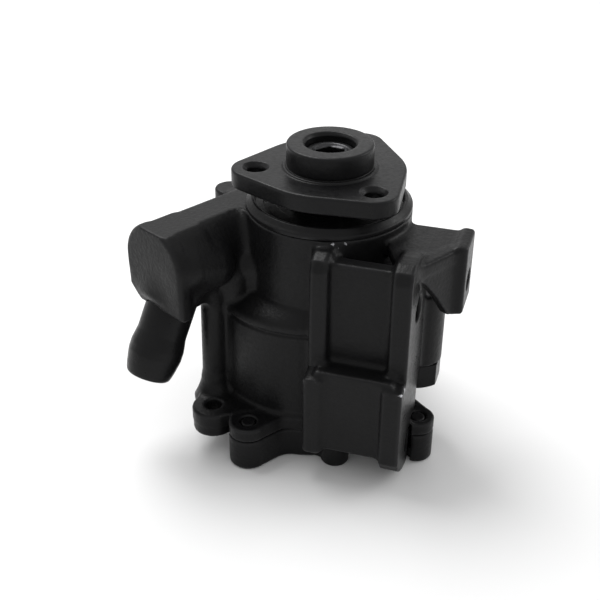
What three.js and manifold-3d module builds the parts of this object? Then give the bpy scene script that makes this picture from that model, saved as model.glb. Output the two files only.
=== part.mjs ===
// Belt-driven vane pump for power steering, built as an assembly of separate pieces.
// Units are millimetres. The origin is on the shaft axis, in the plane of the rear
// cover's flat outer face. +Z runs along the shaft towards the drive flange, and +X
// is the direction of the mounting bolts.

import * as THREE from "three";
import { ConvexGeometry } from "three/addons/geometries/ConvexGeometry.js";
import { mergeVertices } from "three/addons/utils/BufferGeometryUtils.js";
import Module from "manifold-3d";

const wasm = await Module();
wasm.setup();

// ---------------------------------------------------------------- driving sizes

// Clearances.
const FACE_GAP = 0.3;
const RUNNING_GAP = 0.15;
const SEAT_GAP = 0.1;
const BOOLEAN_OVERRUN = 1;

// Stack along the shaft, from the rear face upwards.
const REAR_COVER_THICKNESS = 12.5;
const REAR_FLANGE_THICKNESS = 5.2;
const LOWER_BARREL_LENGTH = 39;
const SHOULDER_HEIGHT = 6;
const UPPER_BARREL_LENGTH = 28.5;
const RETAINER_HEIGHT = 3.7;
const FLANGE_AIR_GAP = 4.6;
const DRIVE_FLANGE_THICKNESS = 6.7;
const COLLAR_HEIGHT = 9.2;

// Housing barrels.
const LOWER_BARREL_RADIUS = 36;
const LOWER_BARREL_WALL = 9.8;
const LOWER_BARREL_OFFSET_X = -7;
const UPPER_BARREL_RADIUS = 31;
const BARREL_GROOVE_DEPTH = 0.8;
const BARREL_GROOVE_WIDTH = 1;
const BARREL_GROOVE_DROP = 2.6;

// Rear flange, with its four screw lobes, and the cover that repeats its outline.
const SCREW_CENTRES = [
  [LOWER_BARREL_RADIUS - 17.5, LOWER_BARREL_RADIUS + 4],
  [-LOWER_BARREL_RADIUS - 7, LOWER_BARREL_RADIUS - 19],
  [-LOWER_BARREL_RADIUS + 17.8, -LOWER_BARREL_RADIUS - 7],
  [LOWER_BARREL_RADIUS + 6.5, -LOWER_BARREL_RADIUS + 15.5],
];
const SCREW_LOBE_RADIUS = 7.4;
const SIDE_LOBE_RADIUS = 6.2;
const LOBE_ROOT_SHARE = 0.55;
const LOBE_ROOT_RADIUS = 1.6 * SCREW_LOBE_RADIUS;
const COLUMN_ROOT_SHARE = 0.75;
const FLANGE_MARGIN = 1;
const LUG_CENTRE = [-LOWER_BARREL_RADIUS + 1.8, -LOWER_BARREL_RADIUS - 1.8];
const LUG_RADIUS = 8;
const LUG_DROP = 4.4;
const LUG_HOLE_RADIUS = 3.3;
const COVER_NOSE_CENTRE = [13.5, -LOWER_BARREL_RADIUS + 2.5];
const COVER_NOSE_RADIUS = 5.4;
const COVER_SPIGOT_HEIGHT = 1.6;
const SCREW_RADIUS = 3;
const SCREW_HEAD_RADIUS = 4.6;
const SCREW_HEAD_HEIGHT = 4;
const SCREW_HEAD_RECESS = 0.6;
const SCREW_SOCKET_ACROSS_FLATS = 4.6;
const SCREW_SOCKET_DEPTH = 2.4;
const SCREW_END_RECESS = 0.5;

// Vertical half-round column on the left, over the lug.
const COLUMN_CENTRE = [-LOWER_BARREL_RADIUS - 2, -LOWER_BARREL_RADIUS + 10];
const COLUMN_TOP_Z = 66;
const COLUMN_RADIUS = 4.9;

// Mounting bracket: two parallel plates, a solid foot between them and a web above.
const BRACKET_LEFT_OUTER_X = 3.9;
const BRACKET_RIGHT_OUTER_X = LOWER_BARREL_RADIUS + 4.5;
const BRACKET_PLATE_THICKNESS = 7;
const BRACKET_FRONT_Y = -LOWER_BARREL_RADIUS - 4;
const BRACKET_PAD_FRONT_Y = -LOWER_BARREL_RADIUS - 11;
const BRACKET_TOP_Z = 90;
const BRACKET_PAD_TOP_Z = 44.3;
const BRACKET_PAD_BOTTOM_Z = 10.5;
const BRACKET_FOOT_FRONT_Y = -LOWER_BARREL_RADIUS - 9;
const BRACKET_FOOT_TOP_Z = 47;
const BRACKET_WEB_FRONT_Y = -LOWER_BARREL_RADIUS;
const BRACKET_WEB_THICKNESS = 6;
const BRACKET_WEB_TOP_Z = 86.7;
const BRACKET_HOLE_RADIUS = 4.8;
const BRACKET_UPPER_HOLE = [-LOWER_BARREL_RADIUS + 11, 67.5];
const BRACKET_LOWER_HOLE = [-LOWER_BARREL_RADIUS + 7, 12.5];
const BRACKET_LOWER_BOSS_RADIUS = 11.7;
const BRACKET_CORNER_RADIUS = 6;
const BRACKET_REAR_CORNER_RADIUS = 4;
const BRACKET_PAD_CHAMFER = 2;
const BRACKET_PAD_STEP = 0.6;
const BRACKET_BOSS_SHOULDER = 0.8;
const BRACKET_BOSS_SHOULDER_Z = 28;
const BRACKET_REAR_EDGE = [
  [-14, 34],
  [-5, 41],
  [-7, 55],
  [-12, 69],
  [-18, 80],
];
const BRACKET_REAR_ROUND_Y = -22;
const BRACKET_REAR_TOP_Y = -30;
const BRACKET_RELIEF_DEPTH = 0.3;
const BRACKET_RELIEF_MARGIN = 1;
const EAR_CORNER_Y = -LOWER_BARREL_RADIUS + 2;
const EAR_WEB_INNER_X = 20;
const EAR_RIB_INWARD = [-0.85, 0.52];
const EAR_CORNER_RADIUS = 3;
const VALVE_COLUMN_REACH = 18;
const BRACKET_FOOT_BACK_Y = -18;
const BRACKET_BRIDGE_BACK_Y = -14;

// Side ear with its end plate.
const EAR_TOP_Z = 87.7;
const EAR_WEB_THICKNESS = 4.6;
const EAR_RIB_THICKNESS = 4.5;
const EAR_PLATE_INNER_X = LOWER_BARREL_RADIUS + 14;
const EAR_PLATE_THICKNESS = 4.6;
const EAR_PLATE_FRONT_Y = -15;
const EAR_PLATE_BACK_Y = 2;
const EAR_PLATE_BOTTOM_Z = 61.5;
const EAR_PLATE_RISE = 1;
const EAR_HOLE_RADIUS = 4.2;
const EAR_HOLE_Z = 72;

// Flow valve column, parallel to the shaft.
const VALVE_CENTRE = [LOWER_BARREL_RADIUS + 2, -3.5];
const VALVE_COLUMN_RADIUS = 9;
const VALVE_COLUMN_TOP_Z = 65;
const VALVE_COLUMN_BOTTOM_Z = 34;
const VALVE_BORE_RADIUS = 6.5;
const VALVE_BORE_TOP_WALL = 3.2;
const VALVE_SPOOL_LENGTH = 13;
const VALVE_SPOOL_NECK_RADIUS = 5;
const VALVE_SPOOL_NECK_LENGTH = 3.2;
const VALVE_SPOOL_TRAVEL = 4;
const VALVE_PLUG_SHANK_LENGTH = 6.4;
const VALVE_PLUG_HEX_ACROSS_FLATS = 16.5;
const VALVE_PLUG_HEX_HEIGHT = 10;
const VALVE_SPRING_RADIUS = 4.8;
const VALVE_SPRING_WIRE_RADIUS = 0.6;
const VALVE_SPRING_TURNS = 4;
const RELIEF_BORE_RADIUS = 3.1;
const RELIEF_BALL_RADIUS = 2;
const RELIEF_BALL_TRAVEL = 0.8;
const RELIEF_SEAT_HEIGHT = 2;
const RELIEF_SEAT_HOLE_RADIUS = 1.1;
const RELIEF_SPRING_WIRE_RADIUS = 0.35;
const RELIEF_SPRING_TURNS = 2;

// Suction boss: a horizontal, arched block on the left, and the hose stub under it.
const INLET_ANGLE = 241.7;
const INLET_FACE_DISTANCE = LOWER_BARREL_RADIUS + 26;
const INLET_LATERAL = -LOWER_BARREL_RADIUS + 8.5;
const INLET_CENTRE_Z = 77.7;
const INLET_RADIUS = 15;
const INLET_BOTTOM_Z = 60.2;
const INLET_DUCT_RADIUS = 7.4;
const INLET_BULGE_CENTRE = [-30, -9, 66];
const INLET_BULGE_RADIUS = 12;
const STUB_TILT = 27;
const STUB_DISTANCE = LOWER_BARREL_RADIUS + 16.8;
const STUB_LATERAL = -LOWER_BARREL_RADIUS + 7;
const STUB_RADIUS = 9.4;
const STUB_BORE_RADIUS = 7.4;
const STUB_LENGTH = 31.5;
const STUB_SEAT_DEPTH = 7;
const STUB_BEAD_RISE = 0.9;
const REAR_BOSS_CENTRE = [-42.5, 8.6];
const REAR_BOSS_RADIUS = 6;
const REAR_BOSS_TOP_Z = 88.8;
const REAR_BOSS_BOTTOM_Z = 62;

// Pressure outlet boss on the far side of the lower barrel.
const OUTLET_ANGLE = 90;
const OUTLET_FACE_DISTANCE = LOWER_BARREL_RADIUS + 8;
const OUTLET_CENTRE_Z = 42;
const OUTLET_BOSS_RADIUS = 10.5;
const OUTLET_PORT_RADIUS = 7.2;
const OUTLET_PORT_DEPTH = 11;

// Drive flange and shaft.
const FLANGE_HOLE_CIRCLE_RADIUS = 27;
const FLANGE_HOLE_FIRST_ANGLE = 80;
const FLANGE_HOLE_COUNT = 3;
const FLANGE_HOLE_RADIUS = 3.4;
const FLANGE_HOLE_CHAMFER = 1.5;
const FLANGE_LOBE_RADIUS = 9;
const FLANGE_DISC_RADIUS = 28;
const COLLAR_RADIUS = 16;
const COLLAR_CHAMFER = 1;
const COLLAR_STEP_WIDTH = 1.5;
const COLLAR_STEP_HEIGHT = 0.8;
const FLANGE_HUB_RADIUS = 13.5;
const SHAFT_SEAT_RADIUS = 9;
const SHAFT_END_RECESS = 3.2;
const SHAFT_SOCKET_ACROSS_FLATS = 10;
const SHAFT_SOCKET_DEPTH = 8;
const SHAFT_REAR_RADIUS = 7;
const SPLINE_TIP_RADIUS = 8.6;
const SPLINE_ROOT_RADIUS = 7.8;
const SPLINE_TEETH = 18;

// Ball bearing.
const BEARING_BORE_RADIUS = 10;
const BEARING_OUTER_RADIUS = 23.5;
const BEARING_WIDTH = 14;
const BALL_COUNT = 8;
const BALL_RADIUS = 3.95;
const RACE_LAND_DEPTH = 1;
const CAGE_HALF_THICKNESS = 1.1;
const CAGE_RIM = 1.1;

// Bearing retainer ring at the top of the housing.
const RETAINER_RIM_WIDTH = 2.7;
const RETAINER_RECESS_DEPTH = 2.3;
const RETAINER_HOLE_RADIUS = 15;
const RETAINER_SPIGOT_HEIGHT = 1.2;
const SEAL_OUTER_RADIUS = 17.5;
const SEAL_WIDTH = 8;

// Pumping set.
const CHAMBER_RADIUS = LOWER_BARREL_RADIUS - LOWER_BARREL_WALL;
const FRONT_PLATE_THICKNESS = 7.4;
const CAM_RING_WIDTH = 19.4;
const PRESSURE_PLATE_THICKNESS = 8;
const PLATE_SPRING_HEIGHT = 3.4;
const PLATE_SPRING_SEAT_RADIUS = 16.5;
const ROTOR_RADIUS = 19.5;
const CAM_MINOR_RADIUS = 20;
const CAM_RISE = 2.6;
const VANE_COUNT = 10;
const VANE_THICKNESS = 1.5;
const VANE_DEPTH = 7.5;
const DOWEL_RADIUS = 1.7;
const DOWEL_CIRCLE_RADIUS = CHAMBER_RADIUS - 2.9;
const SHAFT_PASSAGE_RADIUS = 10.6;
const BUSH_WALL = 1.5;
const BUSH_LENGTH = 8;
const CIRCLIP_THICKNESS = 1.2;
const CIRCLIP_GROOVE_DEPTH = 0.6;
const CIRCLIP_HEIGHT = 1.6;
const O_RING_RADIUS = 0.9;
const O_RING_GROOVE_GAP = 0.2;

// Facets round a full turn, by the size of the piece.
const BARREL_SEGMENTS = 36;
const SEAL_SEGMENTS = 28;
const RING_SEGMENTS = 20;
const HOLE_SEGMENTS = 12;
const BALL_SEGMENTS = 10;

// ---------------------------------------------------------------- derived levels

const HOUSING_BOTTOM_Z = REAR_COVER_THICKNESS + FACE_GAP;
const REAR_FLANGE_TOP_Z = HOUSING_BOTTOM_Z + REAR_FLANGE_THICKNESS;
const SHOULDER_Z = REAR_FLANGE_TOP_Z + LOWER_BARREL_LENGTH;
const UPPER_BARREL_Z = SHOULDER_Z + SHOULDER_HEIGHT;
const HOUSING_TOP_Z = UPPER_BARREL_Z + UPPER_BARREL_LENGTH;
const RETAINER_Z = HOUSING_TOP_Z + FACE_GAP;
const RETAINER_TOP_Z = RETAINER_Z + RETAINER_HEIGHT;
const DRIVE_FLANGE_Z = RETAINER_TOP_Z + FLANGE_AIR_GAP;
const DRIVE_FLANGE_TOP_Z = DRIVE_FLANGE_Z + DRIVE_FLANGE_THICKNESS;
const COLLAR_TOP_Z = DRIVE_FLANGE_TOP_Z + COLLAR_HEIGHT;
const SHAFT_TOP_Z = COLLAR_TOP_Z - SHAFT_END_RECESS;

const BEARING_TOP_Z = HOUSING_TOP_Z - RETAINER_SPIGOT_HEIGHT;
const BEARING_Z = BEARING_TOP_Z - BEARING_WIDTH;
const BALL_CIRCLE_RADIUS = (BEARING_BORE_RADIUS + BEARING_OUTER_RADIUS) / 2;
const SEAL_TOP_Z = BEARING_Z - FACE_GAP - CIRCLIP_THICKNESS - FACE_GAP;
const SEAL_Z = SEAL_TOP_Z - SEAL_WIDTH;

const PLATE_SPRING_Z = REAR_COVER_THICKNESS + COVER_SPIGOT_HEIGHT + FACE_GAP;
const PLATE_RECESS = PLATE_SPRING_HEIGHT + FACE_GAP;
const PRESSURE_PLATE_Z = PLATE_SPRING_Z;
const CAM_RING_Z = PRESSURE_PLATE_Z + PRESSURE_PLATE_THICKNESS + FACE_GAP;
const FRONT_PLATE_Z = CAM_RING_Z + CAM_RING_WIDTH + FACE_GAP;
const CHAMBER_TOP_Z = FRONT_PLATE_Z + FRONT_PLATE_THICKNESS + FACE_GAP;
const ROTOR_Z = CAM_RING_Z + RUNNING_GAP;
const ROTOR_WIDTH = CAM_RING_WIDTH - RUNNING_GAP * 2;
const VANE_INNER_RADIUS = ROTOR_RADIUS - VANE_DEPTH;
const BUSH_TOP_Z = REAR_COVER_THICKNESS + COVER_SPIGOT_HEIGHT;
const BUSH_Z = BUSH_TOP_Z - BUSH_LENGTH;

const SCREW_HEAD_TOP_Z = SCREW_HEAD_RECESS + SCREW_HEAD_HEIGHT + FACE_GAP;
const VALVE_BORE_TOP_Z = VALVE_COLUMN_TOP_Z - VALVE_BORE_TOP_WALL;
const VALVE_PLUG_TOP_Z = VALVE_COLUMN_BOTTOM_Z + VALVE_PLUG_SHANK_LENGTH;
const VALVE_SPOOL_TOP_Z = VALVE_BORE_TOP_Z - FACE_GAP;
const VALVE_SPOOL_Z = VALVE_SPOOL_TOP_Z - VALVE_SPOOL_LENGTH;

const INLET_DIRECTION = directionXY(INLET_ANGLE);
const INLET_SIDEWAYS = directionXY(INLET_ANGLE + 90);
const OUTLET_DIRECTION = directionXY(OUTLET_ANGLE);

// ---------------------------------------------------------------- helpers

function radians(degrees) {
  return (degrees * Math.PI) / 180;
}

function directionXY(degrees) {
  return new THREE.Vector3(Math.cos(radians(degrees)), Math.sin(radians(degrees)), 0);
}

function signedVolume(positions, triangles) {
  const a = new THREE.Vector3();
  const b = new THREE.Vector3();
  const c = new THREE.Vector3();
  let total = 0;
  for (let i = 0; i < triangles.length; i += 3) {
    a.fromArray(positions, triangles[i] * 3);
    b.fromArray(positions, triangles[i + 1] * 3);
    c.fromArray(positions, triangles[i + 2] * 3);
    total += a.dot(b.cross(c)) / 6;
  }
  return total;
}

// A closed three.js geometry as a solid for joins and cuts.
function toSolid(geometry) {
  const bare = geometry.clone();
  bare.deleteAttribute("normal");
  bare.deleteAttribute("uv");
  const merged = mergeVertices(bare, 1e-4);
  const positions = merged.attributes.position.array;
  const index = merged.index.array;
  const triangles = [];
  for (let i = 0; i < index.length; i += 3) {
    const [a, b, c] = [index[i], index[i + 1], index[i + 2]];
    if (a !== b && b !== c && c !== a) {
      triangles.push(a, b, c);
    }
  }
  if (signedVolume(positions, triangles) < 0) {
    triangles.reverse();
  }
  const mesh = new wasm.Mesh({
    numProp: 3,
    vertProperties: new Float32Array(positions),
    triVerts: new Uint32Array(triangles),
  });
  return new wasm.Manifold(mesh);
}

function join(...solids) {
  return solids.reduce((sum, solid) => sum.add(solid));
}

function cut(solid, ...tools) {
  return tools.reduce((rest, tool) => rest.subtract(tool), solid);
}

// A solid of revolution about Z from [radius, z] points. A profile that doesn't
// start and end on the axis is closed on itself.
function revolve(profile, segments = RING_SEGMENTS) {
  const points = profile.map(([radius, z]) => new THREE.Vector2(radius, z));
  const onAxis = profile[0][0] === 0 && profile[profile.length - 1][0] === 0;
  if (!onAxis) {
    points.push(points[0].clone());
  }
  const geometry = new THREE.LatheGeometry(points, segments);
  geometry.rotateX(Math.PI / 2);
  return toSolid(geometry);
}

function disc(radius, zLow, zHigh, segments = RING_SEGMENTS) {
  return revolve([[0, zLow], [radius, zLow], [radius, zHigh], [0, zHigh]], segments);
}

function ring(innerRadius, outerRadius, zLow, zHigh, segments = RING_SEGMENTS) {
  const profile = [
    [innerRadius, zLow],
    [outerRadius, zLow],
    [outerRadius, zHigh],
    [innerRadius, zHigh],
  ];
  return revolve(profile, segments);
}

function at(solid, x, y, z = 0) {
  return solid.translate([x, y, z]);
}

function block(xLow, xHigh, yLow, yHigh, zLow, zHigh) {
  const geometry = new THREE.BoxGeometry(xHigh - xLow, yHigh - yLow, zHigh - zLow);
  geometry.translate((xLow + xHigh) / 2, (yLow + yHigh) / 2, (zLow + zHigh) / 2);
  return toSolid(geometry);
}

// A straight round bar between two points.
function bar(start, end, radius, segments = HOLE_SEGMENTS) {
  const along = end.clone().sub(start);
  const geometry = new THREE.CylinderGeometry(radius, radius, along.length(), segments);
  const turn = new THREE.Quaternion().setFromUnitVectors(
    new THREE.Vector3(0, 1, 0),
    along.clone().normalize(),
  );
  geometry.applyQuaternion(turn);
  geometry.translate(...start.clone().add(end).multiplyScalar(0.5).toArray());
  return toSolid(geometry);
}

function barAlongX(xLow, xHigh, [y, z], radius, segments = HOLE_SEGMENTS) {
  return bar(new THREE.Vector3(xLow, y, z), new THREE.Vector3(xHigh, y, z), radius, segments);
}

function convex(points) {
  return toSolid(new ConvexGeometry(points));
}

function circlePoints(x, y, radius, z, segments) {
  return Array.from({ length: segments }, (_, i) => {
    const angle = (i * 2 * Math.PI) / segments;
    return new THREE.Vector3(x + radius * Math.cos(angle), y + radius * Math.sin(angle), z);
  });
}

// The upright solid with the outline of a band round a set of [x, y, radius] circles.
function band(circles, zLow, zHigh, segments = RING_SEGMENTS) {
  const points = circles.flatMap(([x, y, radius]) => [
    ...circlePoints(x, y, radius, zLow, segments),
    ...circlePoints(x, y, radius, zHigh, segments),
  ]);
  return convex(points);
}

function prism(points, zLow, zHigh) {
  const shape = new THREE.Shape(points.map(([x, y]) => new THREE.Vector2(x, y)));
  const geometry = new THREE.ExtrudeGeometry(shape, {
    depth: zHigh - zLow,
    bevelEnabled: false,
    curveSegments: 8,
  });
  geometry.translate(0, 0, zLow);
  return toSolid(geometry);
}

// A plate that is upright in the YZ plane, from an outline of [y, z] points.
function plateAcrossX(outline, xLow, xHigh) {
  const geometry = new THREE.ExtrudeGeometry(outline, {
    depth: xHigh - xLow,
    bevelEnabled: false,
    curveSegments: 6,
  });
  const basis = new THREE.Matrix4().makeBasis(
    new THREE.Vector3(0, 1, 0),
    new THREE.Vector3(0, 0, 1),
    new THREE.Vector3(1, 0, 0),
  );
  geometry.applyMatrix4(basis);
  geometry.translate(xLow, 0, 0);
  return toSolid(geometry);
}

// A hexagon with two of its flats across X.
function hexagon(acrossFlats) {
  const corner = acrossFlats / Math.sqrt(3);
  return Array.from({ length: 6 }, (_, i) => {
    const angle = radians(60 * i + 30);
    return [corner * Math.cos(angle), corner * Math.sin(angle)];
  });
}

function ball(radius, centre) {
  const geometry = new THREE.SphereGeometry(radius, BALL_SEGMENTS, BALL_SEGMENTS - 4);
  geometry.rotateX(Math.PI / 2);
  geometry.translate(...centre);
  return toSolid(geometry);
}

// A round wire wound into a compression spring, with its end turns closed up.
function coil(radius, wireRadius, zLow, zHigh, turns) {
  const stepsPerTurn = 9;
  const steps = (turns + 1) * stepsPerTurn;
  const low = zLow + wireRadius;
  const high = zHigh - wireRadius;
  const points = Array.from({ length: steps + 1 }, (_, i) => {
    const share = i / steps;
    const eased = THREE.MathUtils.smoothstep(share, 0, 1) * 0.3 + share * 0.7;
    const angle = share * (turns + 1) * 2 * Math.PI;
    const z = THREE.MathUtils.lerp(low, high, eased);
    return new THREE.Vector3(radius * Math.cos(angle), radius * Math.sin(angle), z);
  });
  const section = new THREE.Shape();
  section.absarc(0, 0, wireRadius, 0, 2 * Math.PI);
  const geometry = new THREE.ExtrudeGeometry(section, {
    steps,
    extrudePath: new THREE.CatmullRomCurve3(points),
    curveSegments: 2,
  });
  return toSolid(geometry);
}

function torus(circleRadius, sectionRadius, z, segments = RING_SEGMENTS) {
  const sides = 6;
  const section = Array.from({ length: sides }, (_, i) => {
    const angle = (i * 2 * Math.PI) / sides;
    return [circleRadius + sectionRadius * Math.cos(angle), z + sectionRadius * Math.sin(angle)];
  });
  return revolve(section, segments);
}

// A point of the suction boss: distance out along its axis, sideways offset, height.
function inletPoint(distance, lateral, z) {
  return new THREE.Vector3(0, 0, z)
    .addScaledVector(INLET_DIRECTION, distance)
    .addScaledVector(INLET_SIDEWAYS, lateral);
}

const STUB_AXIS = new THREE.Vector3(0, 0, -Math.cos(radians(STUB_TILT)))
  .addScaledVector(INLET_DIRECTION, Math.sin(radians(STUB_TILT)));
const STUB_MOUTH = inletPoint(STUB_DISTANCE, STUB_LATERAL, INLET_BOTTOM_Z);

// ---------------------------------------------------------------- materials

function paint(colour, roughness, metalness) {
  return new THREE.MeshStandardMaterial({ color: colour, roughness, metalness });
}

const blackPaint = () => paint(0x1d1d1e, 0.5, 0.1);
const flangePaint = () => paint(0x202021, 0.4, 0.3);
const steel = () => paint(0x8a8c90, 0.32, 0.95);
const darkSteel = () => paint(0x3a3b3e, 0.4, 0.9);
const castIron = () => paint(0x55565a, 0.6, 0.7);
const springSteel = () => paint(0x6f7278, 0.35, 0.95);
const brass = () => paint(0xb08d4a, 0.4, 0.9);
const rubber = () => paint(0x141414, 0.8, 0);

// ---------------------------------------------------------------- housing

function rearOutline(zLow, zHigh) {
  const centre = [LOWER_BARREL_OFFSET_X, 0, LOWER_BARREL_RADIUS + FLANGE_MARGIN];
  const lobes = SCREW_CENTRES.map(([x, y]) => {
    const radius = x > LOWER_BARREL_RADIUS ? SIDE_LOBE_RADIUS : SCREW_LOBE_RADIUS;
    const root = [x * LOBE_ROOT_SHARE, y * LOBE_ROOT_SHARE, LOBE_ROOT_RADIUS];
    return band([[x, y, radius], root], zLow, zHigh, HOLE_SEGMENTS);
  });
  return join(band([centre], zLow, zHigh, BARREL_SEGMENTS), ...lobes);
}

function makeBarrels() {
  const x = LOWER_BARREL_OFFSET_X;
  const lower = at(disc(LOWER_BARREL_RADIUS, HOUSING_BOTTOM_Z, SHOULDER_Z, BARREL_SEGMENTS), x, 0);
  const shoulder = convex([
    ...circlePoints(x, 0, LOWER_BARREL_RADIUS, SHOULDER_Z, BARREL_SEGMENTS),
    ...circlePoints(0, 0, UPPER_BARREL_RADIUS, UPPER_BARREL_Z, BARREL_SEGMENTS),
  ]);
  const upper = disc(UPPER_BARREL_RADIUS, SHOULDER_Z, HOUSING_TOP_Z, BARREL_SEGMENTS);
  const grooveTop = SHOULDER_Z - BARREL_GROOVE_DROP;
  const groove = at(
    ring(
      LOWER_BARREL_RADIUS - BARREL_GROOVE_DEPTH,
      LOWER_BARREL_RADIUS + BOOLEAN_OVERRUN,
      grooveTop - BARREL_GROOVE_WIDTH,
      grooveTop,
      BARREL_SEGMENTS,
    ),
    x,
    0,
  );
  return join(cut(lower, groove), shoulder, upper);
}

function makeRearFlange() {
  const flange = rearOutline(HOUSING_BOTTOM_Z, REAR_FLANGE_TOP_Z);
  const [lugX, lugY] = LUG_CENTRE;
  const lobe = SCREW_CENTRES[2];
  const lugPlate = band(
    [
      [lugX, lugY, LUG_RADIUS],
      [lobe[0], lobe[1], SCREW_LOBE_RADIUS],
      [LOWER_BARREL_OFFSET_X, 0, LOWER_BARREL_RADIUS / 2],
    ],
    HOUSING_BOTTOM_Z,
    REAR_FLANGE_TOP_Z,
    HOLE_SEGMENTS,
  );
  const lug = at(
    disc(LUG_RADIUS, HOUSING_BOTTOM_Z - LUG_DROP, REAR_FLANGE_TOP_Z, HOLE_SEGMENTS),
    lugX,
    lugY,
  );
  return join(flange, lugPlate, lug);
}

function makeColumn() {
  const [x, y] = COLUMN_CENTRE;
  const towardsBarrel = [
    x * COLUMN_ROOT_SHARE + LOWER_BARREL_OFFSET_X * (1 - COLUMN_ROOT_SHARE),
    y * COLUMN_ROOT_SHARE,
    COLUMN_RADIUS,
  ];
  return band([[x, y, COLUMN_RADIUS], towardsBarrel], HOUSING_BOTTOM_Z, COLUMN_TOP_Z, HOLE_SEGMENTS);
}

// The right plate's outline: pad in front, round boss below, widening rearwards.
function rightPlateOutline() {
  const [holeY, holeZ] = BRACKET_LOWER_HOLE;
  const boss = BRACKET_LOWER_BOSS_RADIUS;
  const outline = new THREE.Shape();
  outline.moveTo(BRACKET_PAD_FRONT_Y, BRACKET_PAD_TOP_Z);
  outline.lineTo(BRACKET_PAD_FRONT_Y, BRACKET_PAD_BOTTOM_Z + BRACKET_PAD_CHAMFER);
  outline.lineTo(
    BRACKET_PAD_FRONT_Y + BRACKET_PAD_CHAMFER,
    BRACKET_PAD_BOTTOM_Z - BRACKET_PAD_CHAMFER / 2,
  );
  outline.lineTo(holeY - boss * Math.sin(radians(50)), holeZ - boss * Math.cos(radians(50)));
  outline.absarc(holeY, holeZ, boss, radians(220), radians(360), false);
  outline.lineTo(holeY + boss + BRACKET_BOSS_SHOULDER, BRACKET_BOSS_SHOULDER_Z);
  for (const [y, z] of BRACKET_REAR_EDGE) {
    outline.lineTo(y, z);
  }
  outline.quadraticCurveTo(
    BRACKET_REAR_ROUND_Y,
    BRACKET_TOP_Z,
    BRACKET_REAR_TOP_Y,
    BRACKET_TOP_Z,
  );
  outline.lineTo(BRACKET_FRONT_Y + BRACKET_CORNER_RADIUS, BRACKET_TOP_Z);
  outline.quadraticCurveTo(
    BRACKET_FRONT_Y,
    BRACKET_TOP_Z,
    BRACKET_FRONT_Y,
    BRACKET_TOP_Z - BRACKET_CORNER_RADIUS,
  );
  outline.lineTo(BRACKET_FRONT_Y, BRACKET_PAD_TOP_Z);
  return outline;
}

function leftPlateOutline() {
  const back = BRACKET_WEB_FRONT_Y + BRACKET_WEB_THICKNESS + 2;
  const outline = new THREE.Shape();
  outline.moveTo(BRACKET_PAD_FRONT_Y, BRACKET_PAD_TOP_Z);
  outline.lineTo(BRACKET_PAD_FRONT_Y, BRACKET_PAD_BOTTOM_Z + BRACKET_PAD_CHAMFER);
  outline.quadraticCurveTo(
    BRACKET_PAD_FRONT_Y,
    BRACKET_PAD_BOTTOM_Z,
    BRACKET_PAD_FRONT_Y + BRACKET_PAD_CHAMFER,
    BRACKET_PAD_BOTTOM_Z,
  );
  outline.lineTo(BRACKET_FRONT_Y - BRACKET_PAD_STEP, BRACKET_PAD_BOTTOM_Z);
  outline.lineTo(BRACKET_FRONT_Y - BRACKET_PAD_STEP, HOUSING_BOTTOM_Z);
  outline.lineTo(back, HOUSING_BOTTOM_Z);
  outline.lineTo(back, BRACKET_TOP_Z - BRACKET_REAR_CORNER_RADIUS);
  outline.quadraticCurveTo(
    back,
    BRACKET_TOP_Z,
    back - BRACKET_REAR_CORNER_RADIUS,
    BRACKET_TOP_Z,
  );
  outline.lineTo(BRACKET_FRONT_Y + BRACKET_CORNER_RADIUS, BRACKET_TOP_Z);
  outline.quadraticCurveTo(
    BRACKET_FRONT_Y,
    BRACKET_TOP_Z,
    BRACKET_FRONT_Y,
    BRACKET_TOP_Z - BRACKET_CORNER_RADIUS,
  );
  outline.lineTo(BRACKET_FRONT_Y, BRACKET_PAD_TOP_Z);
  return outline;
}

function makeBracket() {
  const leftInner = BRACKET_LEFT_OUTER_X + BRACKET_PLATE_THICKNESS;
  const rightInner = BRACKET_RIGHT_OUTER_X - BRACKET_PLATE_THICKNESS;
  const overlap = 0.5;
  const left = plateAcrossX(leftPlateOutline(), BRACKET_LEFT_OUTER_X, leftInner);
  // The side screw lobe stands out past this plate, so the mounting face steps
  // back around it and a flat part bolted on seats clear of the lobe.
  const sideLobeY = SCREW_CENTRES[3][1];
  const lobeRelief = block(
    BRACKET_RIGHT_OUTER_X - BRACKET_RELIEF_DEPTH,
    BRACKET_RIGHT_OUTER_X + BOOLEAN_OVERRUN,
    sideLobeY - SIDE_LOBE_RADIUS - BRACKET_RELIEF_MARGIN,
    sideLobeY + 3 * SIDE_LOBE_RADIUS,
    -BOOLEAN_OVERRUN,
    REAR_FLANGE_TOP_Z + BRACKET_RELIEF_MARGIN,
  );
  const right = cut(
    plateAcrossX(rightPlateOutline(), rightInner, BRACKET_RIGHT_OUTER_X),
    lobeRelief,
  );
  const foot = block(
    leftInner - overlap,
    rightInner + overlap,
    BRACKET_FOOT_FRONT_Y,
    BRACKET_FOOT_BACK_Y,
    HOUSING_BOTTOM_Z,
    BRACKET_FOOT_TOP_Z,
  );
  const web = block(
    leftInner - overlap,
    rightInner + overlap,
    BRACKET_WEB_FRONT_Y,
    BRACKET_WEB_FRONT_Y + BRACKET_WEB_THICKNESS,
    BRACKET_FOOT_TOP_Z - overlap,
    BRACKET_WEB_TOP_Z,
  );
  const bridge = block(
    leftInner - overlap,
    rightInner + overlap,
    BRACKET_WEB_FRONT_Y,
    BRACKET_BRIDGE_BACK_Y,
    BRACKET_FOOT_TOP_Z - overlap,
    SHOULDER_Z,
  );
  return join(left, right, foot, web, bridge);
}

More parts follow.
